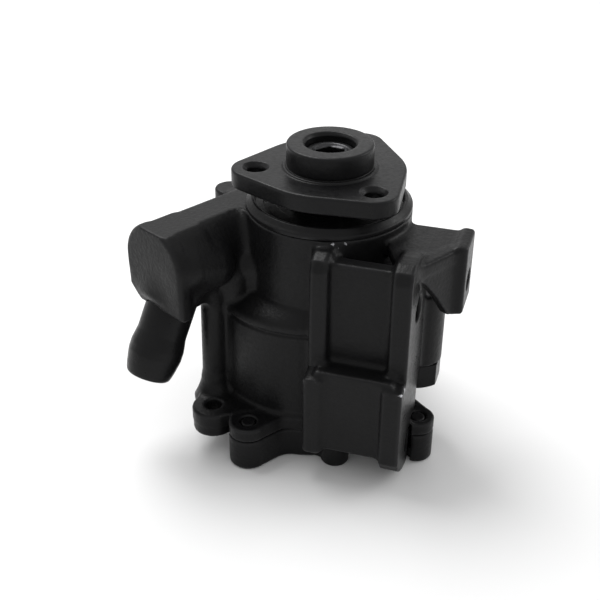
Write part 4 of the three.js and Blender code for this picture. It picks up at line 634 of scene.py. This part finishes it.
# The rim under the inlet boss: distance out, distance sideways, and z.
RIM = [
    (57.5, -15.2, 62.5),
    (53.3, -15.4, 66.0),
    (49.5, -15.6, 68.7),
    (44.9, -15.9, 69.6),
    (39, -16.6, 69.6),
    (32, -18.4, 68),
]
RIM_RADIUS = 1.7
RIM_REACH = 9.0


def rim(p):
    d = np.full(p[0].shape, RIM_REACH, np.float32)
    for a, b in zip(RIM, RIM[1:]):
        d = np.minimum(d, capsule(p, inlet_point(*a), inlet_point(*b), RIM_RADIUS, RIM_RADIUS))
    return d


def under_rim(p):
    """The casting behind the rim, between the column and the barrel."""
    d = capsule(p, (-31, -20, 56), (-31, -20, 68), 6.0, 7.0)
    return np.minimum(d, capsule(p, (-24, -17, 56), (-26, -18, 70), 5.0, 6.0))


def rear_boss(p):
    """A plain upright boss behind the inlet, with its web to the drum."""
    d = disc(p, -42.5, 8.6, 6, 62, 88.8, 0.9)
    web = cuboid(p, -44, -20, 3.5, 13.5, 63, 77, 1.2)
    return soft_min(d, web, 2.5)


def thread(p, x, y, r, pitch, depth, z0, z1):
    """A threaded hole or shank: the wall's radius rises and falls once a turn."""
    angle = np.arctan2(p[1] - y, p[0] - x) / (2 * math.pi)
    wave = np.abs(((p[2] / pitch - angle) % 1.0) - 0.5) * 2
    d = np.hypot(p[0] - x, p[1] - y) - (r + depth * (wave - 0.5))
    return np.maximum(d * SLOPE_EASE, slab(p[2], z0, z1))


def rear_flange(p):
    return blend2(flange_outline(p), slab(p[2], *FLANGE_Z), 0.7)


def lug(p):
    """The threaded lug at the front left of the flange, with its root on the drum."""
    boss = disc(p, *LUG, LUG_RADIUS, LUG_BOTTOM_Z, 18, 0.7)
    root = blend2(capsule(in_plan(p), (*LUG, 0), (-12, -14, 0), LUG_RADIUS, 16), slab(p[2], 12.8, 18), 0.7)
    return soft_min(boss, root, 1.0)


def column(p):
    """Two leaning bars that run up from the flange to the inlet boss."""
    outer = capsule(p, (-38, -26, 15), (-37.4, -25.6, 60.5), 4.9, 4.9)
    inner = capsule(p, (-33, -22, 15), (-31, -20.5, 63), 4.9, 5.5)
    return np.minimum(outer, inner)


def column_foot(p):
    return capsule(p, (-38, -27, 15), (-38, -26, 22), 8.0, 4.6)


def outlet_boss(p):
    return rod(p, (0, 25, OUTLET_Z), (0, 44, OUTLET_Z), OUTLET_RADIUS, 0.8)


def housing_outside(p):
    """The casting before its bores and holes are cut."""
    d = np.maximum(barrel(p), slab(p[2], FLANGE_Z[0], HOUSING_TOP_Z))
    groove = np.hypot(np.hypot(p[0] - DRUM_X, p[1]) - GROOVE_RADIUS, (p[2] - GROOVE_Z)) - GROOVE_SECTION
    d = np.maximum(d, -groove)
    d = soft_min(d, within(p, (-52, -52, 12), (50, 48, 19), rear_flange), 2.4)
    d = soft_min(d, within(p, (-43, -47, 8), (-15, -20, 19), lug), 1.2)
    d = soft_min(d, within(p, (-44, -32, 12), (-24, -10, 69), column), 2.6)
    foot = within(p, (-46, -36, 12), (-30, -16, 26), column_foot)
    d = soft_min(d, np.maximum(foot, FLANGE_Z[0] - p[2]), 3.0)
    d = soft_min(d, within(p, (3, -48, 0), (41, -4, 91), bracket), 3.0)
    d = soft_min(d, within(p, (18, -37, 61), (55, 2, 89), ear), 2.2)
    d = soft_min(d, within(p, (14, -13, 33), (48, 6, 66), valve_column), 2.0)
    d = soft_min(d, within(p, (-68, -62, 58), (0, 10, 94), inlet), 5.0)
    d = soft_min(d, within(p, (-38, -28, 50), (-18, -11, 77), under_rim), 3.0)
    d = soft_min(d, within(p, (-45, -48, 60), (-18, -12, 74), rim), 1.8)
    d = soft_min(d, within(p, (-50, 2, 61), (-18, 16, 90), rear_boss), 2.5)
    d = soft_min(d, within(p, (-11, 25, 31), (11, 45, 53), outlet_boss), 2.5)
    d = np.maximum(d, p[2] - HOUSING_TOP_Z)
    # Nothing hangs below the lug, except the bracket on the right.
    return np.maximum(d, LUG_BOTTOM_Z - p[2] + np.where(p[0] > 20, -9, 0))


def housing(p):
    d = housing_outside(p)
    radial = np.hypot(p[0], p[1])
    cuts = [np.maximum(radial - ROTOR_BORE[0], p[2] - ROTOR_BORE[1])]
    for radius, floor_z in (SHAFT_BORE, SEAL_BORE, BEARING_BORE):
        cuts.append(np.maximum(radial - radius, floor_z - p[2]))
    for c in cuts:
        d = np.maximum(d, -c)
    valve_bore = np.hypot(p[0] - VALVE_X, p[1] - VALVE_Y) - VALVE_BORE_RADIUS
    d = np.maximum(d, -np.maximum(valve_bore, slab(p[2], 33, 61.8)))
    for x, y, _ in SCREWS:
        r = np.hypot(p[0] - x, p[1] - y)
        bore = r - SCREW_BORE_RADIUS - np.clip(p[2] - 17.2, 0, 1)
        d = np.maximum(d, -np.maximum(bore, slab(p[2], -1, 19.2)))
        d = soft_max(d, -np.maximum(r - SCREW_SPOTFACE_RADIUS, slab(p[2], 17.75, 20)), 0.25)
    for y, z, r, x0, x1 in BOLT_HOLES:
        hole = np.hypot(p[1] - y, p[2] - z)
        bevel = r + np.maximum(0, p[0] - (x1 - BOLT_HOLE_BEVEL))
        d = np.maximum(d, -np.maximum(hole - bevel, slab(p[0], x0, x1)))
    d = np.maximum(d, -thread(p, *LUG, 3.3, 1.25, 0.35, 7, 19))
    port = np.hypot(p[0], p[2] - OUTLET_Z)
    d = np.maximum(d, -np.maximum(port - OUTLET_PORT_RADIUS, 33 - p[1]))
    d = np.maximum(d, -np.maximum(port - OUTLET_DRILLING_RADIUS, 25 - p[1]))
    return np.maximum(d, -rod(p, STUB_MOUTH - STUB_AXIS * 7.3, STUB_MOUTH + STUB_AXIS * 8, 9.55, 0.1))


solid(
    "housing_casting",
    housing,
    (-66.8, -51, 0.8),
    (55, 48, 92.8),
    0.72,
    casting,
    "case",
    "housing",
)


# ---------------------------------------------------------------- covers and screws


def rear_cover(p):
    """The cover's plate and nose, its spigot in the rotor bore, and its screw holes."""
    d = blend2(flange_outline(p), slab(p[2], *COVER_Z), 0.9)
    nose = capsule(in_plan(p), (13.5, -33.5, 0), (6.7, -16.7, 0), 5.4, 10.8)
    nose = blend2(nose, slab(p[2], *COVER_Z), 0.9)
    d = soft_min(d, nose, 2.0)
    pocket = cuboid(p, 32.5, 41.5, -50, -16.3, -5, 20, 0.3)
    d = np.maximum(d, -pocket)
    radial = np.hypot(p[0], p[1])
    d = np.minimum(d, np.maximum(radial - 26.05, slab(p[2], 5, 14.1)))
    d = np.maximum(d, -np.maximum(radial - 8.7, 5.5 - p[2]))
    for x, y, _ in SCREWS:
        r = np.hypot(p[0] - x, p[1] - y)
        d = np.maximum(d, -np.maximum(r - 3.3, slab(p[2], -1, 14)))
        d = np.maximum(d, -np.maximum(r - 4.9 - np.maximum(0, 0.5 - p[2]), p[2] - 4.9))
    return d


solid(
    "cover_casting",
    rear_cover,
    (-51, -51, 0),
    (49, 48, 14.2),
    0.7,
    casting,
    "case",
    "rear_cover",
)


SCREW_TURN = 0.4  # of the first socket, in radians
SCREW_TURN_STEP = 1.1


def screw(p):
    """A knurled cap screw with a hexagon socket, its head down."""
    r = np.hypot(p[0], p[1])
    head = blend2(r - 4.6, slab(p[2], 0.6, 4.6), 0.4)
    knurl = 0.12 * np.cos(np.arctan2(p[1], p[0]) * 32)
    head = np.maximum(head, r - 4.5 - np.where(p[2] > 1.3, knurl, 0))
    socket = np.maximum(hexagon(p[0], p[1], 4.6), p[2] - 3.0)
    bevel = r - 2.5 - np.maximum(0, 1.0 - p[2])
    head = np.maximum(head, -np.minimum(socket, np.maximum(bevel, p[2] - 1.0)))
    shank = np.maximum(thread(p, 0, 0, 2.85, 1.0, 0.25, 4, 17.5), r - 2.4 - np.maximum(0, 17.4 - p[2]))
    return np.minimum(head, shank)


first = solid(
    "screw_1",
    screw,
    (-4.8, -4.8, 0.6),
    (4.8, 4.8, 17.6),
    0.26,
    machined,
    "case",
    "cover_screw_1",
)
screw_mesh = first.data
for i, (x, y, _) in enumerate(SCREWS):
    if i:
        piece = bpy.data.objects.new(f"screw_{i + 1}", screw_mesh)
        bpy.context.scene.collection.objects.link(piece)
    else:
        piece = first
    turned = Matrix.Rotation(SCREW_TURN + i * SCREW_TURN_STEP, 4, "Z")
    piece.matrix_world = Matrix.Translation((x * MM, y * MM, 0)) @ turned
    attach(piece, "case")
    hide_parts(f"cover_screw_{i + 1}")


LATHE_SEGMENTS = 128
LATHE_EDGE = 0.35


def lathe(name, profile, material, body, node, place=None):
    """A turned piece from a closed [radius, height] outline, with its corners eased."""
    eased = []
    n = len(profile)
    for i in range(n):
        a, b, c = (np.array(profile[(i + k) % n], float) for k in (-1, 0, 1))
        size = min(LATHE_EDGE, 0.3 * np.linalg.norm(b - a), 0.3 * np.linalg.norm(c - b))
        u = b + (a - b) / np.linalg.norm(a - b) * size
        v = b + (c - b) / np.linalg.norm(c - b) * size
        for t in (0, 0.33, 0.67, 1):
            eased.append((1 - t) ** 2 * u + 2 * t * (1 - t) * b + t * t * v)
    rows = len(eased)
    verts = []
    for s in range(LATHE_SEGMENTS):
        angle = 2 * math.pi * s / LATHE_SEGMENTS
        for r, z in eased:
            verts.append((r * math.cos(angle) * MM, r * math.sin(angle) * MM, z * MM))
    faces = []
    for s in range(LATHE_SEGMENTS):
        t = (s + 1) % LATHE_SEGMENTS
        for k in range(rows):
            m = (k + 1) % rows
            faces.append((s * rows + k, t * rows + k, t * rows + m, s * rows + m))
    mesh = bpy.data.meshes.new(name)
    mesh.from_pydata(verts, [], faces)
    mesh.update()
    mesh.polygons.foreach_set("use_smooth", np.ones(len(mesh.polygons), bool))
    mesh.materials.append(material)
    obj = bpy.data.objects.new(name, mesh)
    bpy.context.scene.collection.objects.link(obj)
    if place is not None:
        obj.matrix_world = place
    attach(obj, body)
    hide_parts(node)
    return obj


lathe(
    "retainer_ring",
    [
        (15, 90.9), (23.3, 90.9), (23.3, 91.8), (31, 91.8), (31, 93.2), (30.2, 93.9),
        (28.9, 95.4), (28.3, 95.5), (27.8, 95.3), (27.4, 93.3), (24.6, 93.2), (24.3, 93.5),
        (20.5, 93.5), (20.2, 93.2), (15, 93.2),
    ],
    machined,
    "case",
    "bearing_retainer",
)

turn = Vector((0, 0, 1)).rotation_difference(Vector(STUB_AXIS)).to_matrix().to_4x4()
lathe(
    "stub",
    [
        (7.4, -6.9), (9.35, -6.9), (9.35, 13.5), (9.4, 14.2), (9.9, 17.2), (10.2, 19.2),
        (10.2, 22.6), (9.9, 24.6), (9.3, 27.8), (8.7, 30.2), (8.3, 31.1), (7.9, 31.45),
        (7.6, 31.4), (7.4, 30.9),
    ],
    machined,
    "case",
    "inlet_tube",
    place=Matrix.Translation(Vector(STUB_MOUTH) * MM) @ turn,
)


def plug(p):
    """The valve's hexagon plug, with a hollow underneath and a threaded shank."""
    q = [p[0] - VALVE_X, p[1] - VALVE_Y, p[2]]
    r = np.hypot(q[0], q[1])
    hexed = np.maximum(hexagon(q[0], q[1], 16.5), slab(q[2], 23.7, 33.7))
    hexed = soft_max(hexed, (r - 8.0 - (q[2] - 23.7) * 1.7) * 0.5, 0.3)
    hexed = np.maximum(hexed, -np.maximum(r - 4.6, q[2] - 24.5))
    shank = thread(q, 0, 0, 6.3, 1.5, 0.3, 32, 40.4)
    return np.minimum(hexed, shank)


solid(
    "valve_cap",
    plug,
    (28, -14, 23.6),
    (48, 7, 40.6),
    0.36,
    machined,
    "case",
    "valve_plug",
)


# ---------------------------------------------------------------- drive flange and shaft

LOBE_CIRCLE = 27
LOBE_RADIUS = 9
DISC_RADIUS = 28
COLLAR_RADIUS = 16
DRIVE_FLANGE_Z = (100.1, 106.8)
DRIVE_TOP_Z = 116
LOBES = [
    (LOBE_CIRCLE * math.cos(math.radians(a)), LOBE_CIRCLE * math.sin(math.radians(a)))
    for a in (80, 200, 320)
]


def tangent_band(p, x, y, r1, r2):
    """In plan, the outline drawn tight round a circle on the axis and one at x, y."""
    h = math.hypot(x, y)
    along = (p[0] * x + p[1] * y) / h
    across = np.abs(p[0] * y - p[1] * x) / h
    b = (r1 - r2) / h
    a = math.sqrt(1 - b * b)
    k = -b * across + a * along
    near = np.hypot(across, along) - r1
    far = np.hypot(across, along - h) - r2
    side = across * a + along * b - r1
    return np.where(k < 0, near, np.where(k > a * h, far, side))


def drive_flange(p):
    """The three-lobed flange, with its step, collar, hub, bore and tapped holes."""
    r = np.hypot(p[0], p[1])
    d = r - DISC_RADIUS
    for x, y in LOBES:
        d = np.minimum(d, tangent_band(p, x, y, DISC_RADIUS, LOBE_RADIUS))
    body = blend2(d, slab(p[2], *DRIVE_FLANGE_Z), 0.9)
    step = blend2(r - 17.4, slab(p[2], 104, 107.5), 0.3)
    collar = blend2(r - COLLAR_RADIUS, slab(p[2], 104, DRIVE_TOP_Z), 0.9)
    hub = blend2(r - 13.5, slab(p[2], 90.7, 101), 0.4)
    body = np.minimum(np.minimum(soft_min(body, step, 0.5), collar), hub)
    foot = np.hypot(r - 16.05, p[2] - 107.55) - 0.35
    body = np.maximum(body, -foot)
    bore = r - 9.1 - np.clip(p[2] - 114.9, 0, 2) * 0.9
    body = np.maximum(body, -bore)
    for x, y in LOBES:
        hole = thread(p, x, y, 3.45, 1.25, 0.35, 99, 108)
        bevel = np.hypot(p[0] - x, p[1] - y) - 3.5 - np.clip(p[2] - 105.3, 0, 3)
        bevel = np.maximum(bevel, slab(p[2], 105.3, 107.6))
        body = np.maximum(body, -np.minimum(hole, bevel))
    return body


solid(
    "pulley_flange",
    drive_flange,
    (-36, -30, 90.7),
    (36, 37, 116),
    0.45,
    machined,
    "drive_shaft",
    "drive_flange",
)


SHAFT_TOP_Z = 112.8
SHAFT_BOTTOM_Z = 5.8


def shaft(p):
    """A stepped, splined shaft with a hexagon socket in its top end."""
    r = np.hypot(p[0], p[1])
    profile = np.select(
        [p[2] < 43, p[2] < 90.3],
        [7.0, 9.85],
        8.98,
    )
    d = np.maximum(r - profile, slab(p[2], SHAFT_BOTTOM_Z, SHAFT_TOP_Z))
    spline = 8.2 + 0.4 * np.cos(np.arctan2(p[1], p[0]) * 18)
    d = np.minimum(d, np.maximum(r - spline, slab(p[2], 21.6, 43)))
    socket = np.maximum(hexagon(p[0], p[1], 10.5, 0.35), 104.8 - p[2])
    bevel = r - 6.0 - np.maximum(0, p[2] - (SHAFT_TOP_Z - 0.9))
    d = np.maximum(d, -np.minimum(socket, np.maximum(bevel, SHAFT_TOP_Z - 0.9 - p[2])))
    d = np.maximum(d, r - (9.0 - np.maximum(0, p[2] - (SHAFT_TOP_Z - 0.5))))
    return d


solid(
    "drive_spindle",
    shaft,
    (-10, -10, 5.8),
    (10, 10, 112.8),
    0.42,
    spindle,
    "drive_shaft",
    "shaft",
)


# ---------------------------------------------------------------- pieces kept from the frame

KEPT = [
    (ground, ["bearing_outer_ring", "bearing_inner_ring", "dowel_pin_1", "dowel_pin_2"]),
    (ground, ["valve_spool", "relief_ball"]),
    (ground, [f"bearing_ball_{i}" for i in range(1, 9)]),
    (ground, [f"vane_{i}" for i in range(1, 11)]),
    (hard, ["rotor"]),
    (spring, ["shaft_circlip", "rotor_circlip", "pressure_plate_spring", "valve_spring", "relief_spring"]),
    (iron, ["cam_ring", "front_port_plate", "pressure_plate"]),
    (bronze, ["bearing_cage", "rear_bush", "relief_seat"]),
    (rubber, ["cover_o_ring", "shaft_seal", "pressure_plate_o_ring", "valve_plug_o_ring"]),
]
for material, names in KEPT:
    for name in names:
        obj = nodes[name]
        obj.data.materials.clear()
        obj.data.materials.append(material)

# Each spring gets its own copy of its mesh and is hung on its body. A row holds the
# piece, its node, body and joint, the fixed end's z and the joint's travel, in mm.
COILS = [
    ("valve_coil", "valve_spring", "case", "flow_spool_slide", 40.5, 4.0),
    ("relief_coil", "relief_spring", "flow_spool", "relief_ball_slide", 59.0, 0.8),
]
for name, node, body, joint, fixed_z, travel in COILS:
    coil = bpy.data.objects.new(name, nodes[node].data.copy())
    bpy.context.scene.collection.objects.link(coil)
    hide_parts(node)
    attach(coil, body)
    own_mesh(coil)


# ---------------------------------------------------------------- camera, floor and light

scene = bpy.context.scene
right = Vector((0.95537241, 0.29535745, 0.00524705))
up = Vector((-0.15554575, 0.4878739, 0.85894387))
forward = Vector((-0.25113557, 0.82142743, -0.51204286))
camera_data = bpy.data.cameras.new("camera")
camera_data.sensor_width = 36
camera_data.lens = 60.9
camera_data.clip_start = 0.01
camera = bpy.data.objects.new("camera", camera_data)
scene.collection.objects.link(camera)
basis = Matrix((right, up, -forward)).transposed().to_4x4()
camera.matrix_world = Matrix.Translation((0.0900, -0.3307, 0.2539)) @ basis
scene.camera = camera

FLOOR_HALF = 3
FLOOR_Z = -0.0002
floor_corners = [(x * FLOOR_HALF, y * FLOOR_HALF, FLOOR_Z) for x, y in ((-1, -1), (1, -1), (1, 1), (-1, 1))]
floor_mesh = bpy.data.meshes.new("floor")
floor_mesh.from_pydata(floor_corners, [], [(0, 1, 2, 3)])
floor = bpy.data.objects.new("floor", floor_mesh)
scene.collection.objects.link(floor)
floor_material, _, floor_shader = nodes_of("floor")
floor_shader.inputs["Base Color"].default_value = (0.86, 0.86, 0.86, 1)
floor_shader.inputs["Roughness"].default_value = 0.75
floor_mesh.materials.append(floor_material)

world = bpy.data.worlds.new("studio")
scene.world = world
world.use_nodes = True
world.node_tree.nodes["Background"].inputs["Color"].default_value = (1, 1, 1, 1)
world.node_tree.nodes["Background"].inputs["Strength"].default_value = 0.65
scene.view_settings.view_transform = "Standard"


def area(name, place, target, size, power):
    """A round area light at a place, in metres, turned to a target."""
    data = bpy.data.lights.new(name, "AREA")
    data.shape = "DISK"
    data.size = size
    data.energy = power
    lamp = bpy.data.objects.new(name, data)
    scene.collection.objects.link(lamp)
    lamp.location = place
    lamp.rotation_euler = (Vector(target) - Vector(place)).to_track_quat("-Z", "Y").to_euler()


area("key", (-0.45, 0.25, 0.95), (0, 0, 0.06), 0.7, 9.0)
area("side", (0.8, 0.5, 0.5), (0, 0, 0.04), 0.5, 2.0)
area("back", (-0.22, 0.74, 0.55), (0, 0, 0.06), 0.6, 0.45)
